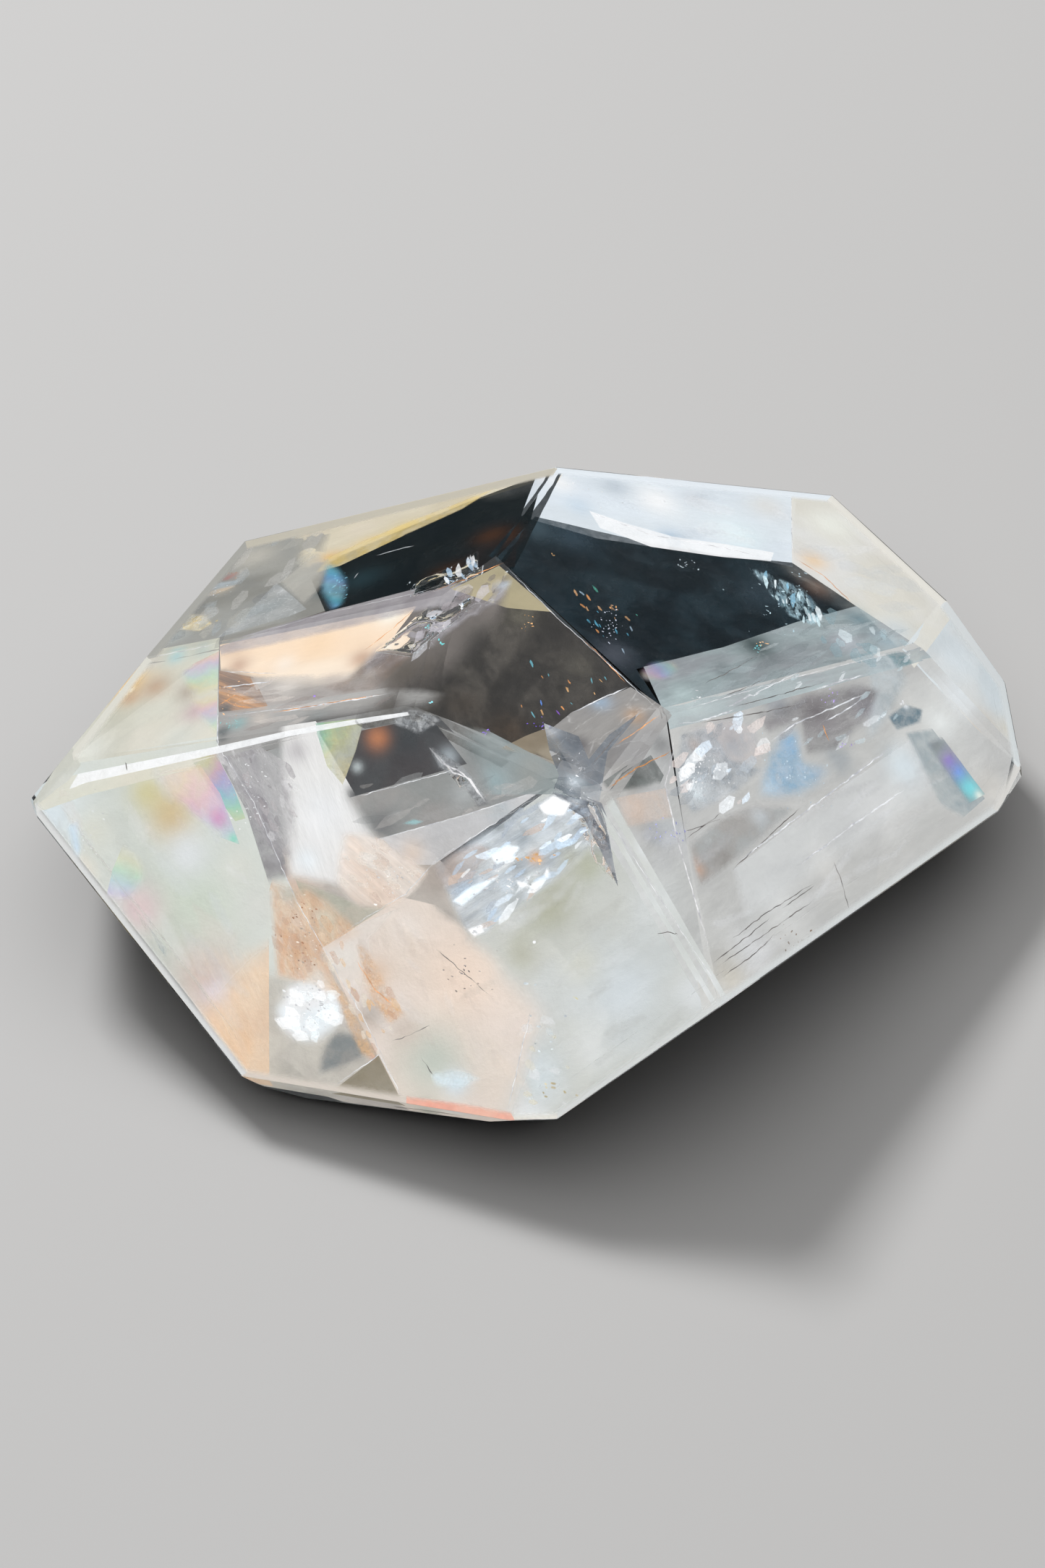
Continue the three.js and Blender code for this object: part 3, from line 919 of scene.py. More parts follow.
shelfVeils = {
    # right half: grey shelf, dark reflections, milk below
    "top": dict(seen=[(890, 922), (1000, 895), (1102, 860), (1184, 838), (1285, 903), (925, 1000)],
        depth=2.6, color=(0.46, 0.54, 0.55), tint=(0.34, 0.35, 0.37), size=2.5, stretch=3, run=(90, -30),
        bands=0.2, bandSize=1, web=0.05,
        spots=[((1045, 892), 2, (0.07, 0.1, 0.1)), ((945, 960), 1.6, (0.6, 0.72, 0.72)),
            ((1190, 855), 1.5, (0.2, 0.3, 0.34)), ((1170, 890), 1.6, (0.6, 0.64, 0.68)),
            ((1225, 885), 1.4, (0.42, 0.54, 0.6)), ((1000, 925), 1.2, (0.26, 0.3, 0.31)),
            ((1100, 900), 1.5, (0.4, 0.44, 0.46))]),
    "milk": dict(seen=[(922, 985), (1270, 893), (1425, 1062), (1385, 1135), (985, 1402), (948, 1160)],
        color=(0.69, 0.685, 0.66), tint=(0.62, 0.615, 0.6), cover=0.92, contrast=0.14, stretch=2,
        bands=0.14, bandSize=4,
        spots=[((1080, 1250), 2.5, (0.84, 0.84, 0.82)), ((1215, 1120), 3, (0.74, 0.73, 0.71)),
            ((1140, 1190), 2, (0.8, 0.78, 0.74)), ((1010, 1350), 2, (0.7, 0.66, 0.58)),
            ((1130, 985), 2, (0.3, 0.27, 0.28)), ((1010, 1020), 1.6, (0.4, 0.44, 0.47)),
            ((1195, 975), 1.6, (0.45, 0.45, 0.5)), ((960, 1080), 1.5, (0.8, 0.85, 0.9)),
            ((1075, 975), 1.5, (0.4, 0.42, 0.45)), ((1250, 1060), 2, (0.72, 0.84, 0.9)),
            ((1330, 960), 2.5, (0.84, 0.88, 0.9)), ((1040, 1310), 2, (0.84, 0.84, 0.84)),
            ((1160, 1050), 1.5, (0.45, 0.48, 0.5)), ((1300, 1000), 1.6, (0.88, 0.9, 0.88)),
            ((1370, 1090), 2, (0.78, 0.75, 0.7))]),
    "left": dict(seen=[(919, 980), (935, 1085), (948, 1160), (1000, 1402), (822, 1105)],
        color=(0.66, 0.66, 0.64), tint=(0.66, 0.66, 0.66), cover=0.9, contrast=0.1, size=3, stretch=2,
        bands=0.15,
        spots=[((880, 1120), 1.3, (0.8, 0.66, 0.56)), ((886, 1078), 0.8, (0.3, 0.31, 0.3)),
            ((915, 1030), 1.4, (0.36, 0.36, 0.36)), ((870, 1075), 1.2, (0.16, 0.16, 0.15)),
            ((920, 1230), 2.5, (0.74, 0.75, 0.73)), ((900, 1150), 1.2, (0.46, 0.45, 0.44))]),
    "brownWindow": dict(
        seen=[(950, 1166), (1000, 1126), (1042, 1110), (1108, 1114), (1066, 1152), (1014, 1196),
            (966, 1232)],
        depth=2.4, color=(0.36, 0.34, 0.32), tint=(0.42, 0.44, 0.44), cover=0.9, contrast=0.25, size=2.5,
        bands=0.15, soft=0.7,
        spots=[((962, 1200), 0.9, (0.6, 0.36, 0.24)), ((1050, 1128), 1.2, (0.55, 0.58, 0.6)),
            ((1000, 1190), 1.2, (0.24, 0.22, 0.2))]),
    "blue": dict(seen=[(1040, 1108), (1050, 1050), (1078, 1004), (1106, 996), (1118, 1044), (1156, 1060),
            (1150, 1084), (1100, 1112)],
        depth=1.8, color=(0.28, 0.46, 0.62), tint=(0.46, 0.58, 0.7), cover=0.92, contrast=0.3, size=1,
        soft=1.7, step=0.3, run=(40, -90), bands=0,
        spots=[((1090, 1030), 1, (0.26, 0.48, 0.72)), ((1062, 1090), 1.2, (0.5, 0.66, 0.8)),
            ((1135, 1070), 1, (0.4, 0.5, 0.6))]),
    "smoke": dict(
        seen=[(1040, 985), (1100, 962), (1180, 940), (1225, 950), (1200, 1000), (1160, 1040), (1112, 1050),
            (1104, 1002), (1060, 1020)],
        depth=1.6, color=(0.16, 0.15, 0.155), tint=(0.3, 0.28, 0.29), cover=0.8, contrast=0.5, size=1.5,
        stretch=3, soft=0.9, step=0.3, run=(90, -35), web=0.2),
    "frost": dict(
        seen=[(938, 1010), (985, 1000), (1010, 1045), (1064, 1062), (1012, 1105), (955, 1130), (930, 1080)],
        depth=1.5, color=(0.52, 0.56, 0.6), tint=(0.3, 0.33, 0.36), cover=0.95, contrast=0.5, size=1.6,
        grit=0.1, bump=0.6, soft=0.8, step=0.25, web=0.12, run=(60, -60),
        spots=[((962, 1092), 1.3, (0.84, 0.92, 0.95)), ((1004, 1108), 1, (0.95, 0.98, 1)),
            ((960, 1030), 0.9, (0.5, 0.44, 0.42))]),
    "slateBlob": dict(seen=[(1226, 990), (1250, 972), (1278, 980), (1274, 1000), (1240, 1012)],
        depth=2.2, soft=0.4, step=0.2, color=(0.12, 0.2, 0.25), cover=0.95, contrast=0.4, size=1.2,
        spots=[((1252, 976), 0.35, (0.9, 0.95, 1))]),
    "endPane": dict(seen=[(1248, 1012), (1288, 1006), (1362, 1104), (1330, 1132), (1298, 1114)],
        depth=2.4, color=(0.3, 0.37, 0.4), tint=(0.5, 0.54, 0.54), cover=0.85, contrast=0.25, size=2,
        run=(60, 70), bands=0.05, soft=[0.4, 0, 0, 0.8, 0.8]),
    "chain": dict(
        seen=[(1034, 784), (1052, 788), (1110, 812), (1142, 848), (1128, 868), (1090, 852), (1060, 818)],
        depth=2, color=(0.6, 0.85, 0.95), tint=(0.2, 0.35, 0.42), cover=1, contrast=1.2, size=0.9, soft=0.5,
        step=0.2, grit=0.1, bump=0.6, web=0.15, run=(30, 90), stretch=2.5,
        spots=[((1060, 805), 1.2, (0.12, 0.17, 0.2)), ((1118, 845), 1.2, (0.6, 0.9, 1))]),
    "greyWedge": dict(seen=[(872, 950), (925, 985), (850, 1100), (829, 1120), (757, 1012), (790, 985)],
        depth=1.8, color=(0.42, 0.4, 0.38), tint=(0.26, 0.25, 0.25), cover=0.85, contrast=0.25, size=3,
        stretch=3, run=(90, -60), bands=0.2, web=0.15, grit=0.1, soft=[0, 0, 0.6, 0, 0, 0],
        spots=[((878, 990), 1, (0.6, 0.4, 0.26)), ((800, 1030), 1, (0.14, 0.13, 0.14)),
            ((830, 970), 1, (0.44, 0.56, 0.7)), ((760, 1050), 1.4, (0.64, 0.58, 0.5)),
            ((890, 1060), 1, (0.2, 0.2, 0.2))]),
    "pinkHaze": dict(seen=[(945, 1006), (1000, 985), (1050, 1000), (1060, 1060), (1010, 1070), (965, 1040)],
        depth=2, color=(0.72, 0.62, 0.6), tint=(0.5, 0.5, 0.54), cover=0.5, contrast=0.3, size=1.6,
        soft=1.2, step=0.3),
    "whiteArm": dict(seen=[(1190, 900), (1240, 905), (1262, 940), (1225, 1010), (1190, 1040), (1200, 960)],
        depth=1.8, color=(0.6, 0.68, 0.72), tint=(0.34, 0.42, 0.46), cover=0.6, contrast=0.4, size=1.6,
        soft=1.2, step=0.3),
    "paleBand": dict(
        seen=[(1010, 1205), (1130, 1112), (1262, 1020), (1300, 1100), (1180, 1190), (1030, 1290)],
        depth=2.2, color=(0.84, 0.86, 0.87), cover=0.35, contrast=0.15, soft=[0, 0, 1, 2, 2, 1]),
    "violetMist": dict(seen=[(890, 1130), (945, 1128), (958, 1165), (915, 1180), (880, 1160)],
        depth=1.8, color=(0.48, 0.53, 0.6), tint=(0.7, 0.72, 0.8), cover=0.35, contrast=0.3, size=1.2,
        soft=1, step=0.25),
    "darkGap": dict(seen=[(836, 1084), (900, 1044), (918, 1072), (912, 1085), (846, 1099)],
        depth=1.8, color=(0.1, 0.11, 0.105), tint=(0.2, 0.22, 0.21), cover=0.85, contrast=0.3, size=1.5,
        soft=[0, 0, 0, 0.5, 0.5], step=0.25),
    "warmGap": dict(seen=[(848, 1104), (920, 1090), (930, 1132), (866, 1146)],
        depth=1.8, color=(0.72, 0.56, 0.46), tint=(0.7, 0.6, 0.54), cover=0.65, contrast=0.4, size=1.2,
        soft=[0, 0, 0.4, 0.8], step=0.25),
}
backdrops = {
    # deep clouds behind the others, so that no gap between them looks empty
    "front": dict(
        seen=[(366, 1180), (440, 1120), (600, 1180), (660, 1250), (760, 1300), (840, 1400), (800, 1540),
            (470, 1525), (372, 1440)],
        depth=3.7, color=(0.66, 0.6, 0.54), cover=0.93,
        spots=[((410, 1240), 2.2, (0.75, 0.52, 0.38)), ((600, 1215), 1.6, (0.6, 0.52, 0.46)),
            ((720, 1380), 2.5, (0.68, 0.66, 0.6)), ((440, 1180), 2, (0.8, 0.78, 0.74))]),
    "middle": dict(seen=[(302, 1042), (560, 992), (800, 1080), (640, 1130), (480, 1170), (380, 1200)],
        depth=3.7, color=(0.36, 0.36, 0.35), cover=0.93,
        spots=[((340, 1110), 2.5, (0.42, 0.4, 0.42)), ((560, 1030), 2, (0.12, 0.13, 0.13)),
            ((700, 1070), 2, (0.4, 0.44, 0.44)), ((460, 1150), 1.5, (0.6, 0.58, 0.56))]),
    "top": dict(seen=[(302, 886), (560, 818), (700, 778), (690, 850), (560, 990), (430, 1004), (302, 1036)],
        depth=3.9, color=(0.2, 0.175, 0.16), cover=0.93, soft=[0, 0, 1.5, 3, 3, 0, 0],
        spots=[((560, 930), 2.4, (0.12, 0.1, 0.08)), ((480, 960), 2.2, (0.3, 0.27, 0.24)),
            ((340, 970), 2.2, (0.42, 0.38, 0.35)), ((650, 870), 2.2, (0.1, 0.09, 0.08))]),
}
frontVeils = {
    "blush": dict(
        seen=[(446, 1310), (556, 1240), (605, 1252), (660, 1290), (720, 1335), (780, 1390), (765, 1450),
            (720, 1556), (566, 1540)],
        depth=2.8, color=(0.86, 0.74, 0.64), tint=(0.9, 0.78, 0.7), cover=0.94, contrast=0.06,
        soft=[0, 0, 0.8, 2, 3.5, 3.5, 3.5, 0, 0], bands=0.05, run=(80, -60),
        spots=[((640, 1350), 4, (1, 0.8, 0.66)), ((520, 1345), 1.4, (0.84, 0.62, 0.46)),
            ((515, 1400), 1.3, (0.5, 0.42, 0.36)), ((600, 1465), 3.4, (0.62, 0.66, 0.58)),
            ((630, 1495), 1.2, (0.76, 0.86, 0.92)), ((480, 1320), 1.2, (0.9, 0.84, 0.76)),
            ((560, 1280), 1.6, (0.94, 0.84, 0.76)), ((590, 1530), 1, (0.5, 0.5, 0.42)),
            ((560, 1420), 1.4, (0.7, 0.6, 0.52))]),
    "milk": dict(
        seen=[(610, 1200), (760, 1092), (832, 1106), (1000, 1400), (772, 1562), (660, 1562), (640, 1380)],
        depth=3.2, color=(0.7, 0.71, 0.66), tint=(0.74, 0.77, 0.76), cover=0.93, contrast=0.05, size=6,
        stretch=1.5, soft=[0, 0, 0, 0, 0, 3, 3], bands=0.1, bandSize=4,
        spots=[((760, 1255), 2.2, (0.52, 0.52, 0.4)), ((720, 1320), 1.6, (0.56, 0.56, 0.46)),
            ((860, 1370), 3.6, (0.78, 0.83, 0.85)), ((812, 1200), 1.4, (0.56, 0.58, 0.46)),
            ((740, 1480), 2.6, (0.66, 0.74, 0.76)), ((905, 1250), 2.5, (0.8, 0.82, 0.8)),
            ((800, 1330), 2, (0.76, 0.76, 0.68)), ((960, 1370), 2, (0.86, 0.88, 0.88)),
            ((730, 1540), 1.6, (0.88, 0.9, 0.9)), ((820, 1450), 2, (0.82, 0.84, 0.82)),
            ((880, 1180), 1.2, (0.9, 0.92, 0.92))]),
    "paleStrip": dict(seen=[(510, 1164), (640, 1128), (752, 1092), (600, 1196), (560, 1196)],
        depth=2.8, color=(0.74, 0.73, 0.73), tint=(0.66, 0.64, 0.63), cover=0.92, contrast=0.15, bands=0.1,
        run=(90, -25),
        spots=[((570, 1180), 1.3, (0.84, 0.7, 0.6)), ((690, 1120), 1.3, (0.6, 0.64, 0.66))]),
    "vShade": dict(seen=[(298, 1040), (326, 1048), (384, 1140), (410, 1215), (374, 1225), (340, 1120)],
        depth=2.6, color=(0.24, 0.22, 0.24), tint=(0.36, 0.34, 0.36), cover=0.85, contrast=0.3, size=1.5,
        bands=0.15, run=(50, 90), soft=[0, 1, 1, 1, 0, 0]),
    "frostStrip": dict(
        seen=[(300, 1040), (350, 1028), (404, 1060), (420, 1140), (410, 1200), (366, 1176), (330, 1110)],
        depth=2, color=(0.62, 0.6, 0.6), tint=(0.36, 0.34, 0.36), cover=0.92, contrast=0.5, size=1.6,
        stretch=3, grit=0.12, bump=0.5, run=(50, 90), web=0.2, soft=[0, 0, 1.2, 1.5, 1, 0.8, 0.5]),
    "glare": dict(
        seen=[(384, 1014), (436, 1006), (492, 1100), (540, 1176), (490, 1232), (398, 1216), (384, 1100)],
        depth=2.4, color=(0.97, 0.95, 0.92), tint=(0.92, 0.9, 0.88), cover=0.97, contrast=0.1, size=2.5,
        stretch=4, run=(30, 90), bands=0.1, bandSize=0.6, soft=[0, 0, 1.6, 1.6, 1, 1, 1],
        spots=[((448, 1125), 2.6, (1, 1, 1)), ((425, 1190), 1.2, (0.94, 0.98, 1)),
            ((410, 1040), 1.2, (0.66, 0.63, 0.63)), ((500, 1180), 1.2, (0.9, 0.76, 0.66))]),
    "creamFlap": dict(
        seen=[(470, 1146), (520, 1150), (560, 1176), (600, 1202), (572, 1240), (530, 1262), (490, 1258),
            (456, 1222)],
        depth=2.2, color=(1, 0.88, 0.78), tint=(0.95, 0.74, 0.6), cover=0.9, contrast=0.15, size=2.5,
        stretch=3, soft=[1, 1, 1, 0.6, 0.6, 1, 1, 1.4], step=0.25, ripple=1.2, run=(70, 60), bands=0.3,
        bandSize=0.5, grit=0.06, bump=0.2),
    "oliveGap": dict(seen=[(408, 1212), (505, 1250), (562, 1238), (446, 1310)],
        color=(0.5, 0.5, 0.4), tint=(0.62, 0.56, 0.46), cover=0.9, size=2, bands=0.1, soft=[0.5, 0.5, 0, 0]),
    "rust": dict(
        seen=[(378, 1212), (440, 1226), (512, 1290), (452, 1320), (486, 1400), (430, 1366), (380, 1352),
            (372, 1235)],
        depth=2.4, color=(0.84, 0.5, 0.3), tint=(0.98, 0.74, 0.52), cover=0.86, contrast=0.3, size=0.9,
        stretch=2, run=(40, 90), bands=0, bandSize=0.5, grit=0.1, bump=0.5,
        soft=[1.2, 1.2, 0.8, 0.4, 0.8, 0.8, 0.8, 0], step=0.3,
        spots=[((400, 1235), 1.2, (0.62, 0.56, 0.46)), ((440, 1350), 1, (0.95, 0.82, 0.7)),
            ((414, 1308), 1.5, (0.74, 0.38, 0.18)), ((450, 1270), 1.2, (0.86, 0.76, 0.6))]),
    "paleFoot": dict(seen=[(360, 1335), (400, 1345), (524, 1462), (448, 1520), (335, 1508)],
        depth=2.8, color=(0.58, 0.54, 0.48), tint=(0.7, 0.66, 0.58), cover=0.92, contrast=0.15, size=3,
        soft=[1, 0, 0, 0, 1], bands=0.1,
        spots=[((380, 1490), 1.5, (0.8, 0.74, 0.64)), ((520, 1455), 0.6, (0.8, 0.4, 0.28))]),
    "cotton": dict(
        seen=[(380, 1372), (398, 1346), (446, 1346), (486, 1380), (480, 1422), (436, 1452), (390, 1438),
            (370, 1400)],
        depth=2.2, color=(1, 1, 1), tint=(0.9, 0.97, 1), cover=1, contrast=0.15, size=3, bump=0.15,
        soft=1.6, step=0.25, bands=0),
    "slateToe": dict(seen=[(462, 1418), (500, 1424), (524, 1452), (490, 1474), (436, 1490), (440, 1450)],
        depth=2, color=(0.2, 0.23, 0.24), tint=(0.34, 0.33, 0.31), cover=0.92, contrast=0.15, size=1.4,
        soft=0.9, step=0.3, bands=0.1),
    "oliveFoot": dict(seen=[(443, 1520), (524, 1458), (570, 1548)],
        depth=1.4, color=(0.26, 0.22, 0.14), tint=(0.4, 0.36, 0.28), cover=0.93, bands=0.1),
    "copperEdge": dict(seen=[(455, 1345), (478, 1366), (512, 1430), (528, 1464), (500, 1462), (474, 1410)],
        depth=1.8, color=(1, 0.62, 0.32), tint=(0.8, 0.6, 0.46), cover=0.85, contrast=0.5, size=0.7,
        soft=0.6, step=0.2, bump=0.6),
    "copperStreak": dict(
        seen=[(488, 1300), (508, 1306), (540, 1362), (566, 1404), (536, 1420), (508, 1380)],
        depth=1.8, color=(0.96, 0.58, 0.32), tint=(0.94, 0.8, 0.68), cover=0.9, contrast=0.6, size=0.7,
        soft=0.7, step=0.2, bump=0.6),
    "footGleam": dict(seen=[(720, 1460), (760, 1446), (800, 1500), (775, 1535), (735, 1528)],
        depth=1.8, color=(0.92, 0.97, 1), tint=(0.84, 0.86, 0.84), cover=0.3, contrast=0.5, size=2,
        soft=1.3, step=0.25),
    "blueGleam": dict(seen=[(590, 1478), (640, 1474), (672, 1490), (640, 1506), (600, 1502)],
        depth=1.8, color=(0.82, 0.95, 1), cover=0.8, contrast=0.6, size=1.4, soft=0.6, step=0.25),
    "paleCorner": dict(seen=[(446, 1310), (505, 1274), (560, 1252), (520, 1300), (500, 1400)],
        depth=2, color=(0.86, 0.8, 0.74), cover=0.6, soft=[0, 0, 1, 1, 0]),
}
fractureVeils = {
    # the star, where three cracks meet under the corner of the top facets, and the broken ground left of it
    "starTop": dict(
        seen=[(752, 1000), (773, 1008), (800, 1018), (814, 1050), (842, 1016), (886, 984), (840, 1040),
            (829, 1108), (790, 1100), (764, 1094), (773, 1072), (760, 1040)],
        window=(790, 1050), depth=0.7, color=(0.15, 0.18, 0.215), tint=(0.075, 0.09, 0.11), cover=0.9,
        contrast=0.4, size=2.6, run=(40, 90), bands=0.2, bandSize=0.5, web=0.12, step=0.25, grit=0.35,
        spots=[((795, 1080), 0.8, (0.6, 0.66, 0.72)), ((760, 1010), 0.8, (0.5, 0.54, 0.6))]),
    "starFoot": dict(
        seen=[(764, 1096), (829, 1112), (838, 1140), (854, 1226), (828, 1172), (806, 1130), (786, 1118)],
        window=(810, 1130), depth=0.7, color=(0.17, 0.19, 0.23), tint=(0.08, 0.09, 0.11), cover=0.95,
        contrast=0.4, size=2.6, run=(30, 90), bands=0.2, bandSize=0.5, web=0.1, step=0.25, grit=0.35,
        spots=[((796, 1105), 0.7, (0.6, 0.66, 0.72))]),
    # its white and pale blue spots are painted highlights on the glassy break
    "glassy": dict(
        seen=[(598, 1197), (640, 1165), (700, 1128), (772, 1090), (806, 1120), (828, 1160), (800, 1192),
            (740, 1242), (668, 1296), (640, 1288), (616, 1240)],
        depth=2.2, color=(0.82, 0.88, 0.94), tint=(0.42, 0.46, 0.5), cover=0.97, contrast=0.45, size=1.6,
        stretch=4, soft=0.7, step=0.3, relief=0.3, ripple=2.5, run=(80, -50), bands=0.4, bandSize=0.5,
        grit=0.1, bump=0.6, web=0.06,
        spots=[((762, 1120), 1, (1, 1, 1)), ((690, 1190), 1, (1, 1, 1)), ((660, 1285), 0.8, (1, 1, 1)),
            ((738, 1215), 0.8, (0.95, 1, 1)), ((740, 1186), 0.6, (0.95, 0.55, 0.3)),
            ((690, 1140), 0.7, (0.2, 0.24, 0.28)), ((790, 1190), 1.3, (0.55, 0.55, 0.44)),
            ((640, 1226), 0.9, (0.62, 0.78, 0.94)), ((712, 1245), 0.9, (0.5, 0.54, 0.56)),
            ((625, 1200), 1, (0.56, 0.46, 0.4)), ((722, 1160), 0.7, (0.4, 0.46, 0.52)),
            ((680, 1262), 0.7, (0.7, 0.84, 1)), ((700, 1225), 0.8, (0.8, 0.9, 1))]),
    "feather": dict(
        seen=[(590, 1030), (612, 1040), (644, 1062), (680, 1112), (660, 1120), (640, 1088), (606, 1062)],
        depth=1.4, color=(0.62, 0.64, 0.66), tint=(0.12, 0.12, 0.13), cover=0.9, contrast=0.5, size=1.6,
        soft=0.3, step=0.2, web=0.4, bump=1, run=(60, 60), relief=0.3, ripple=1.2, grit=0.15),
    "crescent": dict(seen=[(552, 1140), (572, 1132), (590, 1136), (574, 1142)],
        depth=1.5, color=(0.4, 0.7, 0.72), cover=0.8, soft=0.2, step=0.15),
    "oliveSide": dict(
        seen=[(770, 1206), (828, 1166), (840, 1200), (800, 1270), (720, 1330), (690, 1310), (740, 1246)],
        depth=2.2, color=(0.5, 0.5, 0.38), tint=(0.62, 0.62, 0.52), cover=0.45,
        soft=[0.6, 1, 2, 2, 2, 1, 0.6]),
    "smokeLip": dict(seen=[(590, 1200), (628, 1170), (668, 1160), (690, 1176), (650, 1226), (612, 1236)],
        depth=1.2, color=(0.6, 0.48, 0.42), tint=(0.42, 0.38, 0.36), cover=0.7, contrast=0.4, size=1.4,
        soft=0.9, step=0.25),
}
# painted highlights: white patches on the broken ground of the glassy crack, where it catches the light
gleamLook = dict(depth=0.7, soft=0.3, step=0.15, contrast=0.4, size=0.8, cover=0.95)
gleams = {
    "top": dict(seen=[(742, 1114), (764, 1098), (792, 1110), (780, 1130), (752, 1128)], color=(1, 1, 1)),
    "left": dict(seen=[(676, 1184), (700, 1166), (722, 1170), (708, 1190), (686, 1198)],
        color=(0.9, 0.97, 1)),
    "crescent": dict(
        seen=[(710, 1214), (732, 1222), (750, 1210), (757, 1194), (763, 1212), (742, 1230), (716, 1227)],
        color=(1, 1, 1)),
    "streak": dict(seen=[(622, 1246), (650, 1224), (702, 1204), (670, 1230), (640, 1254)],
        color=(0.85, 0.94, 1)),
    "foot": dict(seen=[(644, 1284), (668, 1276), (670, 1290), (655, 1297)], color=(1, 1, 1)),
}

# Narrow strips close under the skin all along the outline, so that the milk reaches the edges of the stone
stripLook = dict(depth=0.2, skin=0.08, cover=0.96, contrast=0.0, bands=0.0, bump=0.0, step=0.3,
                 soft=[0, 0, 0.7, 0], relief=0.0)
outlineStrips = [
    # from, to, how far in (pixels), colour
    ((41, 1116), (333, 1488), (13, -8), (0.8, 0.8, 0.78)),
    ((333, 1488), (709, 1549), (2, -14), (0.76, 0.68, 0.6)),
    ((709, 1549), (771, 1547), (0, -12), (0.88, 0.84, 0.76)),
    ((771, 1547), (995, 1393), (-8, -12), (0.72, 0.73, 0.71)),
    ((995, 1393), (1381, 1122), (-8, -12), (0.7, 0.72, 0.71)),
    ((1381, 1122), (1413, 1059), (-13, -5), (0.74, 0.72, 0.68)),
    ((1413, 1059), (1390, 944), (-13, 2), (0.82, 0.86, 0.86)),
    ((1390, 944), (1309, 831), (-11, 8), (0.82, 0.85, 0.85)),
    ((1309, 831), (1151, 684), (-9, 10), (0.82, 0.79, 0.72)),
    ((1151, 684), (769, 645), (-1, 12), (0.82, 0.87, 0.91)),
    ((769, 645), (339, 748), (3, 12), (0.7, 0.65, 0.54)),
    ((339, 748), (203, 908), (10, 8), (0.5, 0.49, 0.45)),
    ((203, 908), (41, 1116), (10, 8), (0.76, 0.74, 0.66)),
]


def outlineSheet(start, end, inward, color):
    inner = [(x + inward[0], y + inward[1]) for x, y in (end, start)]
    return dict(stripLook, seen=[start, end, *inner], color=color)


outlineVeils = {f"strip{i}": outlineSheet(*strip) for i, strip in enumerate(outlineStrips)}
outlineVeils["redFoot"] = dict(
    seen=[(562, 1514), (640, 1524), (705, 1536), (712, 1549), (640, 1541), (562, 1529)], window=(630, 1524),
    depth=0.18, skin=0.06, color=(0.95, 0.34, 0.24), tint=(1.0, 0.6, 0.46), cover=0.95, step=0.3,
    soft=[0.4, 0.4, 0, 0, 0, 0])
# painted highlight: a white band along the crest of the left tip
outlineVeils["crest"] = dict(
    seen=[(96, 1090), (108, 1070), (300, 1032), (400, 1010), (562, 984), (566, 988), (400, 1018), (300, 1042),
          (120, 1082)], window=(250, 1045),
    depth=0.4, color=(1.0, 1.0, 1.0), cover=0.95, size=2, step=0.4)

brightPieces = [makeVeils("gleams", {name: {**gleam, **gleamLook} for name, gleam in gleams.items()})]
regions = {
    "backdrops": backdrops, "tipVeils": tipVeils, "tipFilms": tipFilms, "rimVeils": rimVeils,
    "bandVeils": bandVeils, "paintedShadeVeils": paintedShadeVeils, "shelfVeils": shelfVeils, "frontVeils": frontVeils,
    "fractureVeils": fractureVeils, "outlineVeils": outlineVeils,
}
for regionName, specs in regions.items():
    makeVeils(regionName, specs)
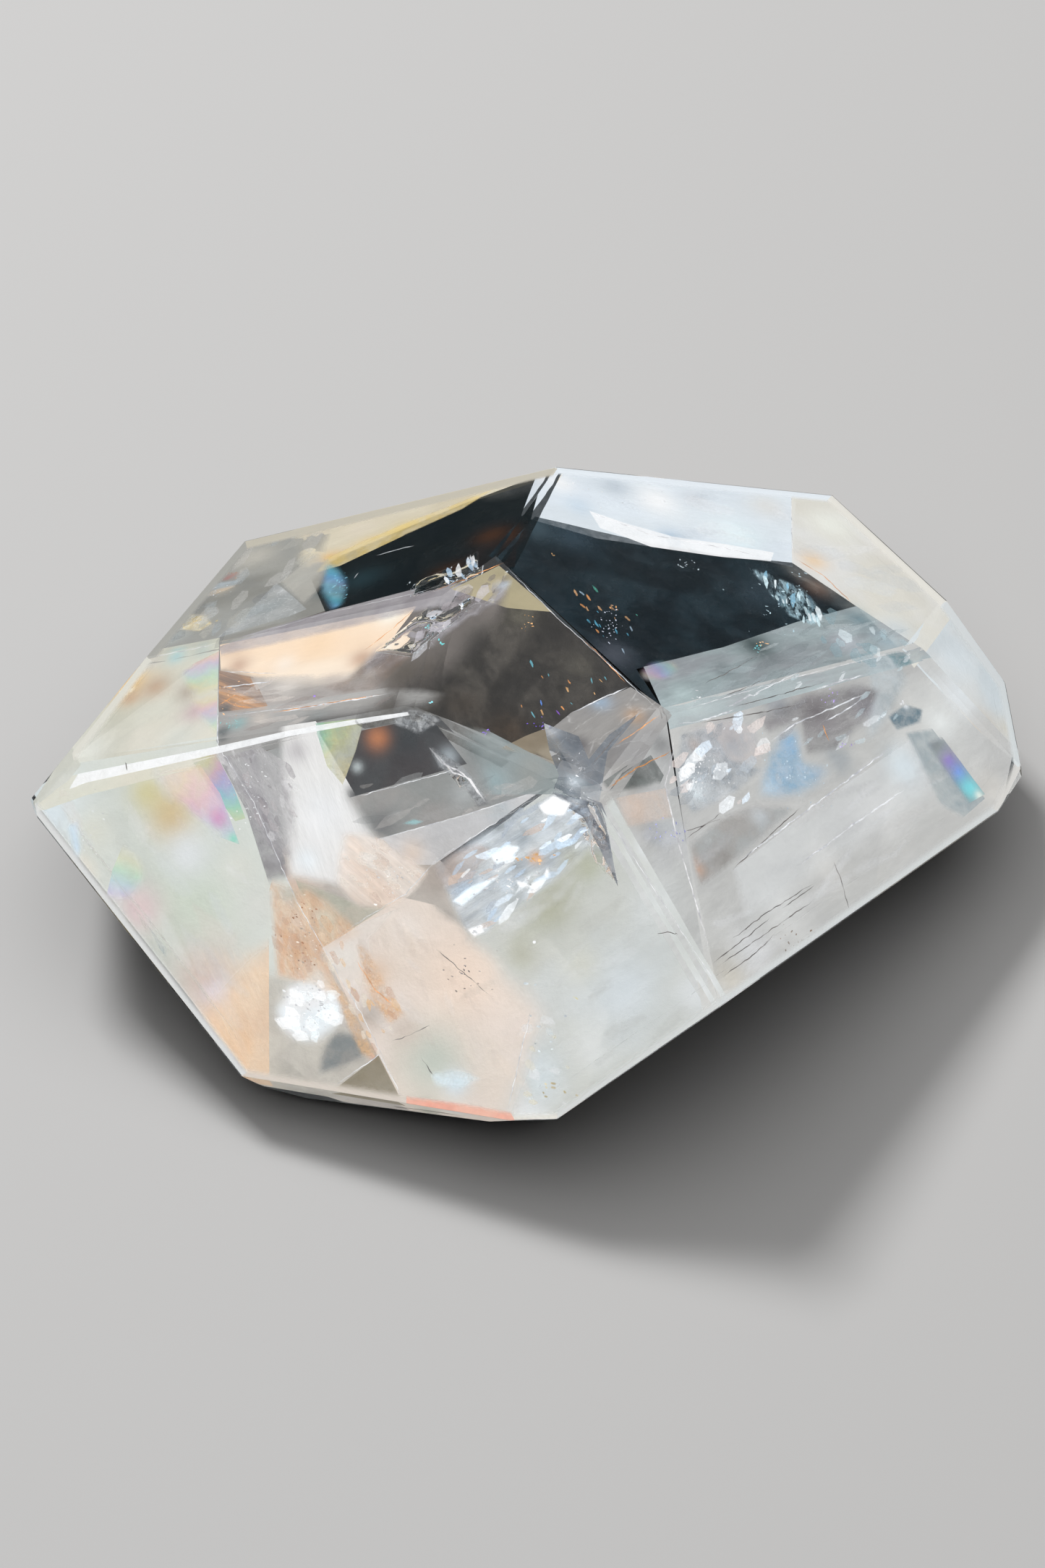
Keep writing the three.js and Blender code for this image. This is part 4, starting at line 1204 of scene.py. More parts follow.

# Bright and dark flakes of broken ground along the cracks. The white and pale blue flakes in the crack fields
# (glassy, shelf, slope, shelfEdge, ribs, glints) and the coloured sparks in the dark windows are painted
# glints.
# Size is in pixels, stretch is how much longer than wide they are, and run is the way they lie, in degrees of
# the picture.
plainField = dict(soft=0, step=0.2)
flakeShape = {"tries": 20, "turn": 18, "corners": 6, "jitter": 0.3, "reach": (0.55, 1.0), "cover": (0.6, 1.0)}
flakeFields = {
    "glassy": dict(
        area=[(612, 1200), (690, 1142), (770, 1096), (806, 1120), (822, 1158), (740, 1236), (664, 1290)],
        count=52, size=(5, 30), stretch=3.6, run=-36, depth=(0.6, 1.4), cover=0.85,
        colors=[(0.95, 0.98, 1), (0.6, 0.74, 0.88), (0.46, 0.56, 0.68), (0.36, 0.4, 0.45), (0.8, 0.9, 1),
            (0.56, 0.68, 0.8), (0.55, 0.42, 0.34)]),
    "shelf": dict(area=[(938, 1000), (1050, 985), (1075, 1040), (1060, 1100), (960, 1140), (928, 1085)],
        count=30, size=(5, 22), stretch=1.8, run=-50, depth=(0.6, 1.3), cover=0.8,
        colors=[(0.95, 0.98, 1), (0.8, 0.9, 1), (0.5, 0.55, 0.6), (0.3, 0.32, 0.34), (0.78, 0.68, 0.64),
            (1, 1, 1)]),
    "slope": dict(area=[(1045, 960), (1190, 900), (1262, 900), (1255, 985), (1180, 1040), (1110, 1040)],
        count=24, size=(5, 22), stretch=3, run=-35, depth=(0.6, 1.4), cover=0.55,
        colors=[(0.85, 0.9, 0.94), (0.3, 0.3, 0.32), (0.55, 0.66, 0.7), (0.9, 0.93, 0.95)]),
    "shelfEdge": dict(area=[(1135, 850), (1180, 836), (1260, 890), (1240, 912), (1170, 925), (1140, 890)],
        count=16, size=(5, 18), stretch=1.6, run=40, depth=(0.6, 1.2), cover=0.65,
        colors=[(0.24, 0.36, 0.4), (0.8, 0.9, 0.93), (0.4, 0.52, 0.56)]),
    "ribs": dict(area=[(1045, 788), (1100, 806), (1142, 848), (1130, 868), (1092, 852), (1058, 815)],
        count=22, size=(4, 16), stretch=3, run=75, depth=(0.6, 1.2), cover=0.9,
        colors=[(0.75, 0.95, 1), (0.3, 0.6, 0.8), (0.05, 0.09, 0.12), (0.9, 0.98, 1)]),
    "bandSmoke": dict(
        area=[(520, 912), (580, 866), (650, 808), (704, 790), (690, 815), (640, 850), (575, 905)],
        count=24, size=(5, 20), stretch=2.2, run=-38, depth=(0.7, 1.6), cover=0.65,
        colors=[(0.74, 0.7, 0.76), (0.9, 0.9, 0.94), (0.14, 0.12, 0.13), (0.45, 0.4, 0.42)]),
    "glints": dict(area=[(606, 800), (640, 776), (666, 764), (664, 790), (640, 806), (612, 812)],
        count=9, size=(5, 15), stretch=2.4, run=75, depth=(0.6, 1.2), cover=0.95,
        colors=[(0.9, 0.97, 1), (0.6, 0.8, 1), (1, 1, 1)]),
    "copper": dict(area=[(450, 1330), (500, 1300), (556, 1390), (540, 1440), (512, 1450), (476, 1390)],
        count=26, size=(4, 16), stretch=2.5, run=60, depth=(0.7, 1.4), cover=0.75,
        colors=[(1, 0.62, 0.3), (1, 0.78, 0.52), (0.7, 0.42, 0.28), (1, 0.9, 0.76)]),
    "rust": dict(area=[(388, 1250), (440, 1240), (486, 1290), (450, 1350), (400, 1345), (380, 1300)],
        count=18, size=(6, 20), stretch=2.2, run=60, depth=(0.8, 1.6), cover=0.5,
        colors=[(0.9, 0.5, 0.26), (1, 0.8, 0.6), (0.66, 0.42, 0.3)]),
    "cotton": dict(
        area=[(392, 1380), (410, 1356), (446, 1356), (476, 1388), (468, 1424), (420, 1440), (388, 1416)],
        count=22, size=(6, 20), stretch=1.3, run=30, depth=(0.8, 1.6), cover=0.6,
        colors=[(1, 1, 1), (0.9, 0.98, 1), (1, 1, 1), (0.84, 0.9, 0.92)]),
    "cream": dict(area=[(468, 1156), (520, 1160), (586, 1206), (560, 1240), (505, 1250), (466, 1210)],
        count=26, size=(6, 20), stretch=2.4, run=35, depth=(0.8, 1.6), cover=0.55,
        colors=[(1, 0.9, 0.8), (0.95, 0.74, 0.6), (1, 0.96, 0.9), (0.8, 0.62, 0.52)]),
    "lowerHaze": dict(area=[(960, 1170), (1260, 985), (1370, 1080), (1340, 1140), (1010, 1370)],
        count=34, size=(24, 75), stretch=5, run=-35, soft=0.35, depth=(0.9, 2.4), cover=0.3, step=0.35,
        colors=[(0.9, 0.91, 0.92), (0.5, 0.5, 0.5), (0.62, 0.6, 0.58), (0.95, 0.96, 0.98)]),
    "milkHaze": dict(area=[(640, 1300), (770, 1190), (850, 1150), (980, 1380), (790, 1520), (700, 1500)],
        count=26, size=(24, 70), stretch=4, run=-40, soft=0.35, depth=(0.9, 2.4), cover=0.26, step=0.35,
        colors=[(0.86, 0.88, 0.88), (0.5, 0.49, 0.44), (0.95, 0.96, 0.98), (0.6, 0.6, 0.56)]),
    "blushHaze": dict(area=[(470, 1320), (560, 1250), (650, 1300), (740, 1400), (710, 1510), (580, 1510)],
        count=24, size=(20, 60), stretch=4, run=58, soft=0.35, depth=(0.9, 2.2), cover=0.3, step=0.35,
        colors=[(1, 0.84, 0.7), (0.62, 0.5, 0.42), (0.95, 0.9, 0.86), (0.7, 0.6, 0.54)]),
    "tipHaze": dict(area=[(60, 1130), (240, 1090), (350, 1200), (365, 1460), (320, 1460)],
        count=26, size=(24, 75), stretch=3.5, run=55, soft=0.4, depth=(0.9, 2.2), cover=0.3, step=0.4,
        colors=[(0.95, 0.96, 0.95), (0.62, 0.62, 0.55), (0.9, 0.78, 0.7), (0.8, 0.84, 0.86)]),
    "rimHaze": dict(area=[(790, 660), (1140, 690), (1290, 840), (1260, 890), (1100, 770), (830, 710)],
        count=20, size=(24, 70), stretch=4, run=12, soft=0.35, depth=(0.9, 2.2), cover=0.28, step=0.35,
        colors=[(1, 1, 1), (0.6, 0.66, 0.72), (0.85, 0.92, 0.98)]),
    "shelfHaze": dict(area=[(930, 960), (1110, 870), (1190, 850), (1265, 895), (950, 985)],
        count=20, size=(20, 60), stretch=6, run=-20, soft=0.25, depth=(0.8, 1.8), cover=0.4, step=0.3,
        colors=[(0.7, 0.76, 0.77), (0.2, 0.24, 0.25), (0.5, 0.58, 0.6)]),
    "bandHaze": dict(area=[(310, 938), (440, 946), (560, 925), (560, 965), (310, 1024)],
        count=16, size=(20, 55), stretch=7, run=-14, soft=0.2, depth=(0.8, 2), cover=0.4, step=0.25,
        colors=[(0.9, 0.8, 0.72), (0.3, 0.24, 0.22), (0.6, 0.52, 0.48)]),
    "leftHaze": dict(area=[(226, 888), (340, 756), (456, 716), (440, 838), (310, 886)],
        count=26, size=(10, 36), stretch=3, run=-38, soft=0.2, depth=(0.8, 2), cover=0.45, step=0.25,
        colors=[(0.72, 0.7, 0.62), (0.26, 0.28, 0.29), (0.58, 0.64, 0.66), (0.8, 0.78, 0.74)]),
    "middleHaze": dict(area=[(490, 1090), (640, 1060), (800, 1095), (640, 1130), (520, 1160)],
        count=16, size=(12, 44), stretch=4, run=-18, soft=0.25, depth=(0.9, 2), cover=0.35, step=0.3,
        colors=[(0.55, 0.56, 0.55), (0.24, 0.25, 0.25), (0.7, 0.66, 0.62)]),
    "windowSparks": dict(area=[(676, 1000), (730, 920), (790, 880), (850, 950), (800, 1000), (750, 992)],
        count=16, size=(2, 8), stretch=4, run=62, depth=(0.6, 1.4), cover=0.85,
        colors=[(0.9, 0.36, 0.1), (0.3, 0.1, 0.7), (0.1, 0.25, 0.7), (0.9, 0.5, 0.2), (0.15, 0.5, 0.6)]),
    "tealSparks": dict(area=[(790, 800), (850, 812), (890, 860), (880, 900), (840, 905), (806, 850)],
        count=22, size=(2, 8), stretch=3.5, run=55, depth=(0.6, 1.4), cover=0.85,
        colors=[(0.9, 0.4, 0.14), (0.1, 0.4, 0.3), (0.5, 0.66, 0.8), (0.7, 0.4, 0.2), (0.1, 0.35, 0.5)]),
    "foot": dict(area=[(724, 1420), (760, 1410), (800, 1500), (776, 1538), (730, 1524)],
        count=14, size=(4, 14), stretch=1.5, run=30, depth=(0.7, 1.6), cover=0.5,
        colors=[(1, 1, 1), (0.9, 0.97, 1), (1, 0.88, 0.6)]),
    "leftGleams": dict(area=[(300, 1046), (350, 1034), (404, 1064), (410, 1190), (372, 1176), (336, 1110)],
        count=24, size=(5, 21), stretch=3, run=62, depth=(0.7, 1.6), cover=0.6,
        colors=[(0.9, 0.88, 0.88), (0.3, 0.27, 0.29), (0.66, 0.6, 0.6)]),
}


def makeFlake(chance, field):
    # a small uneven flake somewhere in the field, drawn out along its run
    area = [Vector(spot) for spot in field["area"]]
    low, high = (Vector([f(spot[i] for spot in area) for i in (0, 1)]) for f in (min, max))
    centre = Vector(middle(field["area"]))
    for _ in range(flakeShape["tries"]):
        spot = Vector((chance.uniform(low.x, high.x), chance.uniform(low.y, high.y)))
        if insideOutline(spot, area):
            break
    turn = math.radians(field["run"] + chance.uniform(-flakeShape["turn"], flakeShape["turn"]))
    size = chance.uniform(*field["size"])
    corners = []
    for k in range(flakeShape["corners"]):
        jitter = chance.uniform(-flakeShape["jitter"], flakeShape["jitter"])
        angle = math.tau * (k + jitter) / flakeShape["corners"]
        out = size * chance.uniform(*flakeShape["reach"])
        x = out * math.cos(angle)
        y = out * math.sin(angle) / field["stretch"]
        corners.append((spot.x + x * math.cos(turn) - y * math.sin(turn),
                        spot.y + x * math.sin(turn) + y * math.cos(turn)))
    return dict(seen=corners, window=tuple(centre), depth=chance.uniform(*field["depth"]),
                color=chance.choice(field["colors"]),
                cover=field["cover"] * chance.uniform(*flakeShape["cover"]),
                soft=field["soft"], step=field["step"], contrast=0.4, size=0.8, relief=0.05, bump=0.5)


# fields of painted glints, and the white cotton, which their own lamp lights brighter
brightFields = ("glassy", "shelf", "slope", "shelfEdge", "ribs", "glints", "cotton", "windowSparks",
                "tealSparks")
for fieldName, field in flakeFields.items():
    fieldChance = random.Random(fieldName)
    field = {**plainField, **field}
    flakeSheets = {str(i): makeFlake(fieldChance, field) for i in range(field["count"])}
    flakes = makeVeils(fieldName + "Flakes", flakeSheets)
    if fieldName in brightFields:
        brightPieces.append(flakes)
for obj in brightPieces:
    lampGroups["onFlakes"].objects.link(obj)

# Behind each facet turned away from the camera lies a soft cloud. A facet with room for them has two clearer
# or darker panes in it, at a share of its size from its middle.
farMilk = {
    "seed": 11, "share": 0.88, "depth": (1.4, 2.6), "cover": (0.7, 0.92), "soft": (1.5, 3.0),
    "colors": [(0.72, 0.74, 0.72), (0.78, 0.76, 0.7), (0.62, 0.66, 0.68), (0.8, 0.82, 0.83)],
    "panes": [(0.3, 0.32, 0.32), (0.9, 0.78, 0.66), (0.86, 0.92, 0.97), (0.45, 0.53, 0.56),
              (0.62, 0.55, 0.48)],
    "paneRoom": 9, "paneAlong": 0.3, "paneUp": 0.2, "paneCorners": 5, "paneReach": (0.2, 0.42),
    "paneFlat": 0.6, "paneAbove": 0.5, "paneSoft": (0.3, 0.8, 1.5), "paneCover": 0.7, "paneStep": 0.35,
}
facetTest = {"alike": 0.9999, "level": 0.99, "onPlane": 0.01 * mm}


def stoneFacets():
    # every slanted facet once: its normal, its middle and its corners in order, laid out flat in mm
    facets = []
    for normal, reach in facetPlanes:
        if any(normal.dot(other) > facetTest["alike"] for other, _, _ in facets):
            continue
        if abs(normal.z) > facetTest["level"]:
            continue
        corners = [v.co for v in solid.vertices if abs(normal.dot(v.co) - reach) < facetTest["onPlane"]]
        centre = sum(corners, Vector()) / len(corners)
        across, upward = planeAxes(normal)
        flat = set()
        for corner in corners:
            away = (corner - centre) / mm
            flat.add((round(away.dot(across), 2), round(away.dot(upward), 2)))
        facets.append((normal, centre, sorted(flat, key=lambda p: math.atan2(p[1], p[0]))))
    return facets


def farPane(chance, look, size):
    # the corners of one pane
    middleX = chance.uniform(-look["paneAlong"], look["paneAlong"]) * size
    middleY = chance.uniform(-look["paneUp"], look["paneUp"]) * size
    turns = sorted(chance.uniform(0, math.tau) for _ in range(look["paneCorners"]))
    reach = [size * chance.uniform(*look["paneReach"]) for _ in turns]
    return [(middleX + r * math.cos(t), middleY + look["paneFlat"] * r * math.sin(t))
            for r, t in zip(reach, turns)]


def farVeils(look):
    chance = random.Random(look["seed"])
    specs = {}
    for count, (normal, centre, corners) in enumerate(stoneFacets()):
        if normal.dot(camera.location - centre) > 0:
            continue
        depth = chance.uniform(*look["depth"])
        size = max(math.hypot(*p) for p in corners)
        cloudSheet = dict(
            plane=(normal, centre - normal * depth * mm), run=(chance.uniform(-1, 1), 1), depth=depth,
            seen=[(x * look["share"], y * look["share"]) for x, y in corners],
            soft=chance.uniform(*look["soft"]), cover=chance.uniform(*look["cover"]),
            color=chance.choice(look["colors"]), tint=chance.choice(look["colors"]),
            contrast=0.3, size=4.0, stretch=2.0, bands=0.2)
        specs[f"cloud{count}"] = cloudSheet
        if size < look["paneRoom"]:
            continue
        for pane in range(2):
            specs[f"pane{count}_{pane}"] = dict(
                cloudSheet, seen=farPane(chance, look, size), soft=chance.choice(look["paneSoft"]),
                plane=(normal, centre - normal * (depth - look["paneAbove"]) * mm),
                color=chance.choice(look["panes"]), cover=look["paneCover"], step=look["paneStep"])
    return specs


makeVeils("farVeils", farVeils(farMilk))

# Fine lines: cleavage steps, scratches and hair cracks, drawn as narrow ribbons just under the polish; some
# white and orange ones along facet edges are painted highlights. The corners are picture places again; width
# is in mm.
lineFamilies = {
    # white lines: cleavage steps, and painted highlights along the facet edges
    "stepsAndEdgeHighlights": dict(color=(0.97, 0.97, 0.98), width=0.07, lines=[
        [(305, 889), (301, 960), (300, 1029), (350, 1110), (410, 1248), (446, 1310), (500, 1404),
         (562, 1527)],
        [(446, 1310), (500, 1272), (560, 1236), (600, 1192), (680, 1140), (756, 1093)],
        [(446, 1512), (524, 1458), (562, 1529)], [(303, 889), (450, 847), (580, 818), (640, 796)],
        [(304, 990), (372, 981), (450, 972), (552, 955)], [(203, 909), (303, 888)],
        [(305, 927), (385, 930)], [(692, 774), (764, 846), (917, 985)],
        [(834, 1116), (900, 1220), (985, 1350), (996, 1390)], [(925, 986), (1100, 935), (1268, 893)],
        [(510, 1164), (640, 1128), (750, 1092)], [(645, 1060), (484, 1104)], [(735, 1390), (700, 1540)],
        [(1095, 680), (1096, 775)],
    ]),
    "beads": dict(color=(0.98, 0.96, 0.96), width=0.13, lines=[
        [(931, 1002), (932, 1040), (921, 1085), (938, 1160), (948, 1194), (960, 1235), (968, 1263),
         (985, 1320)],
        [(590, 1030), (610, 1055), (640, 1070), (660, 1095), (672, 1112)],
        [(596, 1036), (625, 1068), (650, 1078), (668, 1108)],
        [(815, 706), (900, 738), (1000, 756), (1060, 770)],
    ]),
    "scratches": dict(color=(0.16, 0.14, 0.13), width=0.08, lines=[
        [(990, 1338), (1060, 1290), (1132, 1240)], [(985, 1332), (1040, 1290), (1068, 1266)],
        [(1000, 1350), (1045, 1318), (1075, 1288)], [(1010, 1300), (1060, 1262), (1130, 1218)],
        [(1080, 1258), (1130, 1222)], [(906, 1292), (922, 1289), (938, 1293)],
        [(1152, 1186), (1162, 1210), (1170, 1236), (1177, 1262)], [(970, 946), (1000, 932), (1057, 900)],
        [(1000, 962), (1036, 948), (1060, 936)], [(1012, 978), (1070, 962), (1150, 940)],
        [(960, 1000), (1050, 985), (1120, 970)], [(815, 1060), (850, 1020), (885, 985)],
        [(540, 1440), (570, 1430), (595, 1415)], [(945, 1150), (960, 1145), (1000, 1130)],
        [(172, 1052), (174, 1066)], [(1010, 1205), (1060, 1160), (1112, 1112)], [(948, 1160), (1000, 1122)],
        [(600, 1310), (640, 1345), (680, 1380)], [(580, 1460), (600, 1490)], [(680, 1145), (700, 1132)],
        [(1085, 1325), (1120, 1300), (1150, 1280)],
    ]),
    "cuts": dict(color=(0.97, 0.98, 1), width=0.13, lines=[
        [(1062, 1028), (1100, 1000), (1160, 975), (1205, 955)], [(1120, 955), (1160, 942), (1205, 930)],
        [(935, 1000), (960, 998), (990, 990), (1020, 978)], [(1000, 980), (1060, 950), (1110, 925)],
        [(1140, 998), (1165, 985), (1195, 965)], [(517, 768), (545, 760), (576, 752)],
        [(488, 800), (496, 790)], [(650, 765), (655, 790)], [(300, 950), (340, 945), (380, 940)],
        [(380, 985), (450, 972), (530, 960)], [(790, 985), (830, 965), (870, 948)],
        [(1010, 1200), (1130, 1110), (1250, 1020)], [(1100, 1200), (1180, 1140), (1260, 1085)],
    ]),
    # orange lines: painted glints along facet edges and cracks, and copper-coloured seams in the rusty ground
    "orangeGlintsAndSeams": dict(color=(1, 0.42, 0.12), width=0.1, lines=[
        [(805, 880), (840, 915), (868, 945)], [(838, 1090), (880, 1062), (935, 1035)],
        [(850, 1030), (880, 1010), (915, 985)], [(305, 965), (330, 975), (350, 978)],
        [(300, 975), (325, 960), (345, 968)], [(590, 820), (640, 800), (700, 775)],
        [(490, 1325), (515, 1365), (548, 1395)], [(575, 838), (540, 870), (500, 900)],
        [(370, 985), (530, 958)], [(1095, 768), (1140, 795), (1182, 836)], [(1138, 1000), (1148, 1025)],
    ]),
}

# Step in pixels, mm under the surface, how quickly the ends taper, how uneven the width is, waver in mm.
# Paces are how far the noise moves on at each step.
lineDetail = {"step": 4, "under": 0.3, "taper": 6, "uneven": 0.5, "widthPace": 0.37, "drift": 0.12,
              "driftPace": 0.4, "roughness": 0.4, "least": 0.35}
markLook = {"skin": 0.1 * mm, "sliver": 1e-6, "dim": (0.5, 0.5, 0.52, 1), "grain": 900.0,
            "grainOver": (0.4, 0.65), "gaps": 450.0, "gapsOver": (0.35, 0.5)}


def spaced(line, step):
    points = []
    for spot, following in zip(line, line[1:]):
        count = max(1, round(math.dist(spot, following) / step))
        points += [Vector(spot).lerp(Vector(following), i / count) for i in range(count)]
    return [*points, Vector(line[-1])]


def underSkin(spot, depth):
    start, way = sightLine(spot)
    place, normal, _, _ = stoneFaces.ray_cast(start, way)
    return None if place is None else (place - normal * depth * mm, normal)


def makeMarkMaterial(name, roughness, least):
    # small marks that carry their own colour, broken up along their length
    mat, tree, bsdf = newMaterial(name)
    spot = node(tree, "ShaderNodeTexCoord").outputs["Object"]
    tone = node(tree, "ShaderNodeAttribute", attribute_name="tone").outputs["Color"]
    dimmed = mixColor(tree, 1.0, tone, markLook["dim"], "MULTIPLY")
    grain = spread(tree, noiseNode(tree, spot, markLook["grain"], 3.0), *markLook["grainOver"])
    tree.links.new(mixColor(tree, grain, tone, dimmed), bsdf.inputs["Base Color"])
    fade = node(tree, "ShaderNodeAttribute", attribute_name="fade").outputs["Fac"]
    broken = spread(tree, noiseNode(tree, spot, markLook["gaps"], 2.0), *markLook["gapsOver"], least, 1.0)
    tree.links.new(times(tree, broken, fade), bsdf.inputs["Alpha"])
    bsdf.inputs["Roughness"].default_value = roughness
    return mat


def startMarks():
    bm = bmesh.new()
    return bm, bm.verts.layers.float.new("fade"), bm.verts.layers.float_color.new("tone")


def finishMarks(name, bm, material):
    cutInside(bm, markLook["skin"])
    bmesh.ops.dissolve_degenerate(bm, edges=bm.edges, dist=markLook["sliver"])
    return addPiece(name, bm, [material], "onVeils")


def makeLines(families, detail):
    bm, fade, tone = startMarks()
    for family in families.values():
        for index, line in enumerate(family["lines"]):
            found = [underSkin(spot, detail["under"]) for spot in spaced(line, detail["step"])]
            places = [place for place in found if place]
            last = max(1, len(places) - 1)
            pairs = []
            for i, (place, normal) in enumerate(places):
                ahead = places[min(i + 1, last)][0] - places[max(i - 1, 0)][0]
                side = normal.cross(ahead).normalized()
                tail = min(1, detail["taper"] * i / last, detail["taper"] * (1 - i / last))
                swell = detail["uneven"] * noise.noise(Vector((i * detail["widthPace"], index, 0.5)))
                wide = family["width"] * tail * (1 + swell)
                waver = noise.noise(Vector((i * detail["driftPace"], index * 3.1, 7)))
                place = place + side * detail["drift"] * waver * mm
                pair = [bm.verts.new(place + side * wide * mm * half) for half in (-0.5, 0.5)]
                for vert in pair:
                    vert[fade] = tail
                    vert[tone] = (*family["color"], 1)
                pairs.append(pair)
            for (a, b), (c, d) in zip(pairs, pairs[1:]):
                bm.faces.new((a, b, d, c))
    return finishMarks("hairLines", bm, makeMarkMaterial("hairLine", detail["roughness"], detail["least"]))


hairLines = makeLines(lineFamilies, lineDetail)
print("lines:", len(hairLines.data.polygons), "faces")

# Flecks: crumbs of white calcite, rust and glinting chips, strewn round these places of the picture
fleckSpots = [
    # middle, spread (pixels), how many, size in mm, colour
    ((745, 998), (22, 12), 12, 0.16, (0.25, 0.12, 0.9)), ((672, 1008), (10, 5), 6, 0.16, (0.35, 0.2, 0.95)),
    ((732, 858), (10, 14), 12, 0.14, (1, 0.5, 0.15)), ((628, 790), (14, 10), 14, 0.2, (0.9, 0.95, 1)),
    ((570, 810), (8, 10), 10, 0.2, (0.85, 0.95, 1)), ((842, 862), (18, 22), 34, 0.16, (0.8, 0.85, 1)),
    ((850, 838), (6, 4), 5, 0.2, (1, 0.5, 0.2)), ((765, 765), (3, 3), 3, 0.2, (1, 0.55, 0.2)),
    ((955, 778), (26, 8), 12, 0.18, (0.6, 0.7, 0.75)), ((1088, 828), (50, 36), 46, 0.2, (0.7, 0.92, 1)),
    ((1052, 888), (10, 6), 8, 0.22, (1, 0.6, 0.3)), ((1046, 892), (10, 6), 8, 0.22, (0.2, 0.75, 0.8)),
    ((965, 960), (10, 8), 8, 0.2, (1, 1, 1)), ((1250, 968), (8, 5), 6, 0.22, (1, 1, 1)),
    ((435, 960), (3, 3), 2, 0.26, (0.5, 0.3, 1)), ((595, 970), (3, 3), 2, 0.24, (0.3, 0.9, 1)),
    ((318, 998), (12, 10), 16, 0.16, (0.3, 0.75, 0.75)), ((590, 862), (5, 4), 5, 0.2, (0.2, 0.8, 0.8)),
    ((610, 886), (5, 4), 5, 0.2, (0.2, 0.8, 0.8)), ((315, 790), (14, 8), 10, 0.2, (1, 0.4, 0.15)),
    ((300, 818), (24, 12), 18, 0.2, (0.9, 0.95, 1)), ((268, 858), (18, 8), 14, 0.2, (1, 0.75, 0.3)),
    ((740, 1188), (28, 8), 24, 0.2, (1, 0.55, 0.2)), ((700, 1215), (50, 36), 46, 0.2, (1, 1, 1)),
    ((660, 1288), (10, 6), 12, 0.26, (1, 1, 1)), ((1150, 965), (20, 14), 14, 0.16, (0.6, 0.45, 0.95)),
    ((1170, 1030), (12, 10), 8, 0.16, (0.6, 0.45, 0.95)), ((980, 1060), (34, 44), 60, 0.2, (1, 1, 1)),
    ((925, 1150), (30, 16), 22, 0.18, (0.5, 0.5, 0.95)), ((345, 1100), (26, 50), 60, 0.14, (1, 1, 1)),
    ((430, 1390), (34, 34), 50, 0.22, (1, 1, 1)), ((415, 1290), (28, 56), 34, 0.16, (0.45, 0.2, 0.1)),
    ((420, 1300), (30, 60), 30, 0.18, (1, 0.85, 0.7)), ((640, 1345), (44, 34), 20, 0.16, (0.3, 0.26, 0.24)),
    ((745, 1425), (26, 70), 12, 0.24, (0.9, 0.97, 1)), ((765, 1508), (22, 12), 8, 0.24, (1, 0.85, 0.5)),
    ((737, 1303), (4, 4), 2, 0.3, (1, 1, 1)), ((791, 1379), (4, 4), 2, 0.26, (1, 0.9, 0.5)),
    ((1115, 1300), (36, 20), 30, 0.18, (0.3, 0.22, 0.16)),
    ((540, 1215), (34, 26), 30, 0.18, (1, 0.95, 0.9)), ((860, 680), (120, 30), 40, 0.16, (1, 1, 1)),
    ((1100, 1060), (60, 50), 40, 0.16, (0.75, 0.9, 1)), ((470, 805), (14, 20), 26, 0.2, (0.35, 0.8, 1)),
    ((110, 1150), (50, 60), 20, 0.14, (1, 1, 1)), ((320, 960), (28, 26), 26, 0.16, (1, 0.55, 0.25)),
    ((800, 1085), (20, 60), 30, 0.16, (0.95, 0.97, 1)),
]
fleckDetail = {"seed": 7, "scatter": 0.5, "under": (0.35, 0.8), "lean": 0.4, "radius": (0.35, 1.1),
               "long": (1.0, 2.6), "corners": 5, "uneven": (0.7, 1.2), "roughness": 0.25, "least": 0.7}


def makeFlecks(groups, detail):
    dice = random.Random(detail["seed"])
    bm, fade, tone = startMarks()
    for centre, reach, count, size, color in groups:
        for _ in range(count):
            spot = [c + r * dice.gauss(0, detail["scatter"]) for c, r in zip(centre, reach)]
            found = underSkin(spot, dice.uniform(*detail["under"]))
            if found is None:
                continue
            place, normal = found
            lean = Vector([dice.uniform(-detail["lean"], detail["lean"]) for _ in range(3)])
            across, upward = planeAxes((normal + lean).normalized())
            turn = dice.uniform(0, math.tau)
            radius = size * dice.uniform(*detail["radius"]) / 2
            long = dice.uniform(*detail["long"])
            corners = []
            for k in range(detail["corners"]):
                angle = turn + k * math.tau / detail["corners"]
                away = across * math.cos(angle) * long + upward * math.sin(angle)
                corners.append(bm.verts.new(place + away * radius * dice.uniform(*detail["uneven"]) * mm))
                corners[-1][fade] = 1.0
                corners[-1][tone] = (*color, 1)
            bm.faces.new(corners)
    return finishMarks("flecks", bm, makeMarkMaterial("fleck", detail["roughness"], detail["least"]))


flecks = makeFlecks(fleckSpots, fleckDetail)
print("flecks:", len(flecks.data.polygons))

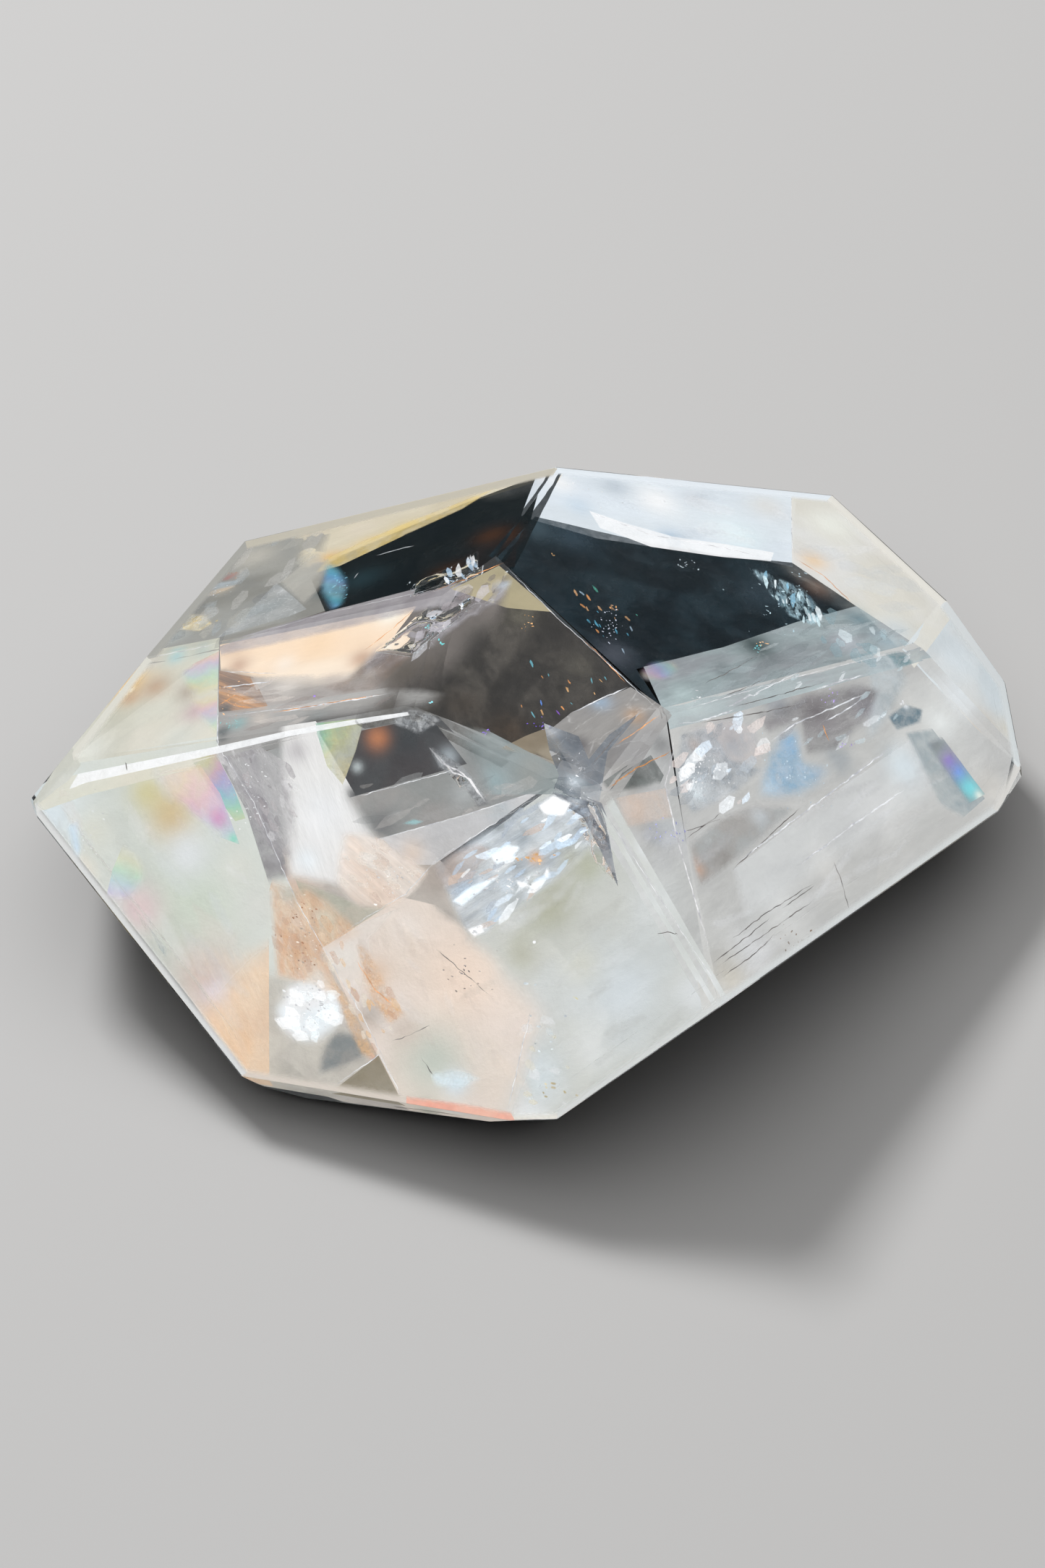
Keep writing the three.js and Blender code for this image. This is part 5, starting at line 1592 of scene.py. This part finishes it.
# Open cracks: thin hollows that mirror the light around them. Their faces look into the hollow.
crackLook = {"roughness": 0.02, "thickness": 0.25, "leastFade": 0.01}
cracks = {
    "sideCrack": dict(seen=[(590, 1030), (612, 1040), (676, 1112), (660, 1120), (620, 1070)],
        along=(184, 34), depth=1.2, soft=0.3, relief=0.4, ripple=1.2),
    "bandCrack": dict(
        seen=[(500, 900), (570, 858), (650, 800), (705, 785), (690, 815), (640, 850), (575, 905),
            (510, 936)],
        along=(117, 24), depth=2.4, soft=0.3, relief=0.25, ripple=3),
    "windowCrack": dict(seen=[(575, 805), (640, 775), (662, 760), (662, 790), (620, 812), (568, 825)],
        along="long", depth=2.4, soft=0.3, relief=0.3, ripple=3),
    "starCrack": dict(seen=[(764, 1096), (829, 1112), (838, 1140), (854, 1226), (820, 1190), (786, 1118)],
        along=(222, 74), depth=1.6, soft=0.3, relief=0.4, ripple=1.4),
}


def boundaryEars(bm):
    return [f for f in bm.faces if all(v.is_boundary for v in f.verts)]


def makeCrack(name, given, look):
    # a hollow lens: the sheet twice, a hair apart, closed along its rim
    bm = makeSheet({"color": (1, 1, 1), **given})
    bmesh.ops.triangulate(bm, faces=bm.faces)
    ears = boundaryEars(bm)
    while ears:
        bmesh.ops.delete(bm, geom=ears, context="FACES")
        ears = boundaryEars(bm)
    bm.normal_update()
    fade = bm.verts.layers.float["fade"]
    faces = list(bm.faces)
    verts = list(bm.verts)
    rim = {v for v in verts if v.is_boundary}
    normals = {v: v.normal.copy() for v in verts}
    twins = {v: v if v in rim else bm.verts.new(v.co) for v in verts}
    for face in faces:
        bm.faces.new([twins[v] for v in face.verts])
    for v in verts:
        if v not in rim:
            half = normals[v] * look["thickness"] * mm / 2 * math.sqrt(max(v[fade], look["leastFade"]))
            twins[v].co = v.co + half
            v.co = v.co - half
    bmesh.ops.recalc_face_normals(bm, faces=bm.faces)
    if bm.calc_volume(signed=True) > 0:
        bmesh.ops.reverse_faces(bm, faces=bm.faces)
    for face in bm.faces:
        face.smooth = True
    addPiece(name, bm, [clearMaterial(name, look["roughness"])], "inGlass")


for crackName, given in cracks.items():
    makeCrack(crackName, given, crackLook)
print("cracks:", len(cracks))

bpy.context.scene.view_settings.view_transform = "Standard"
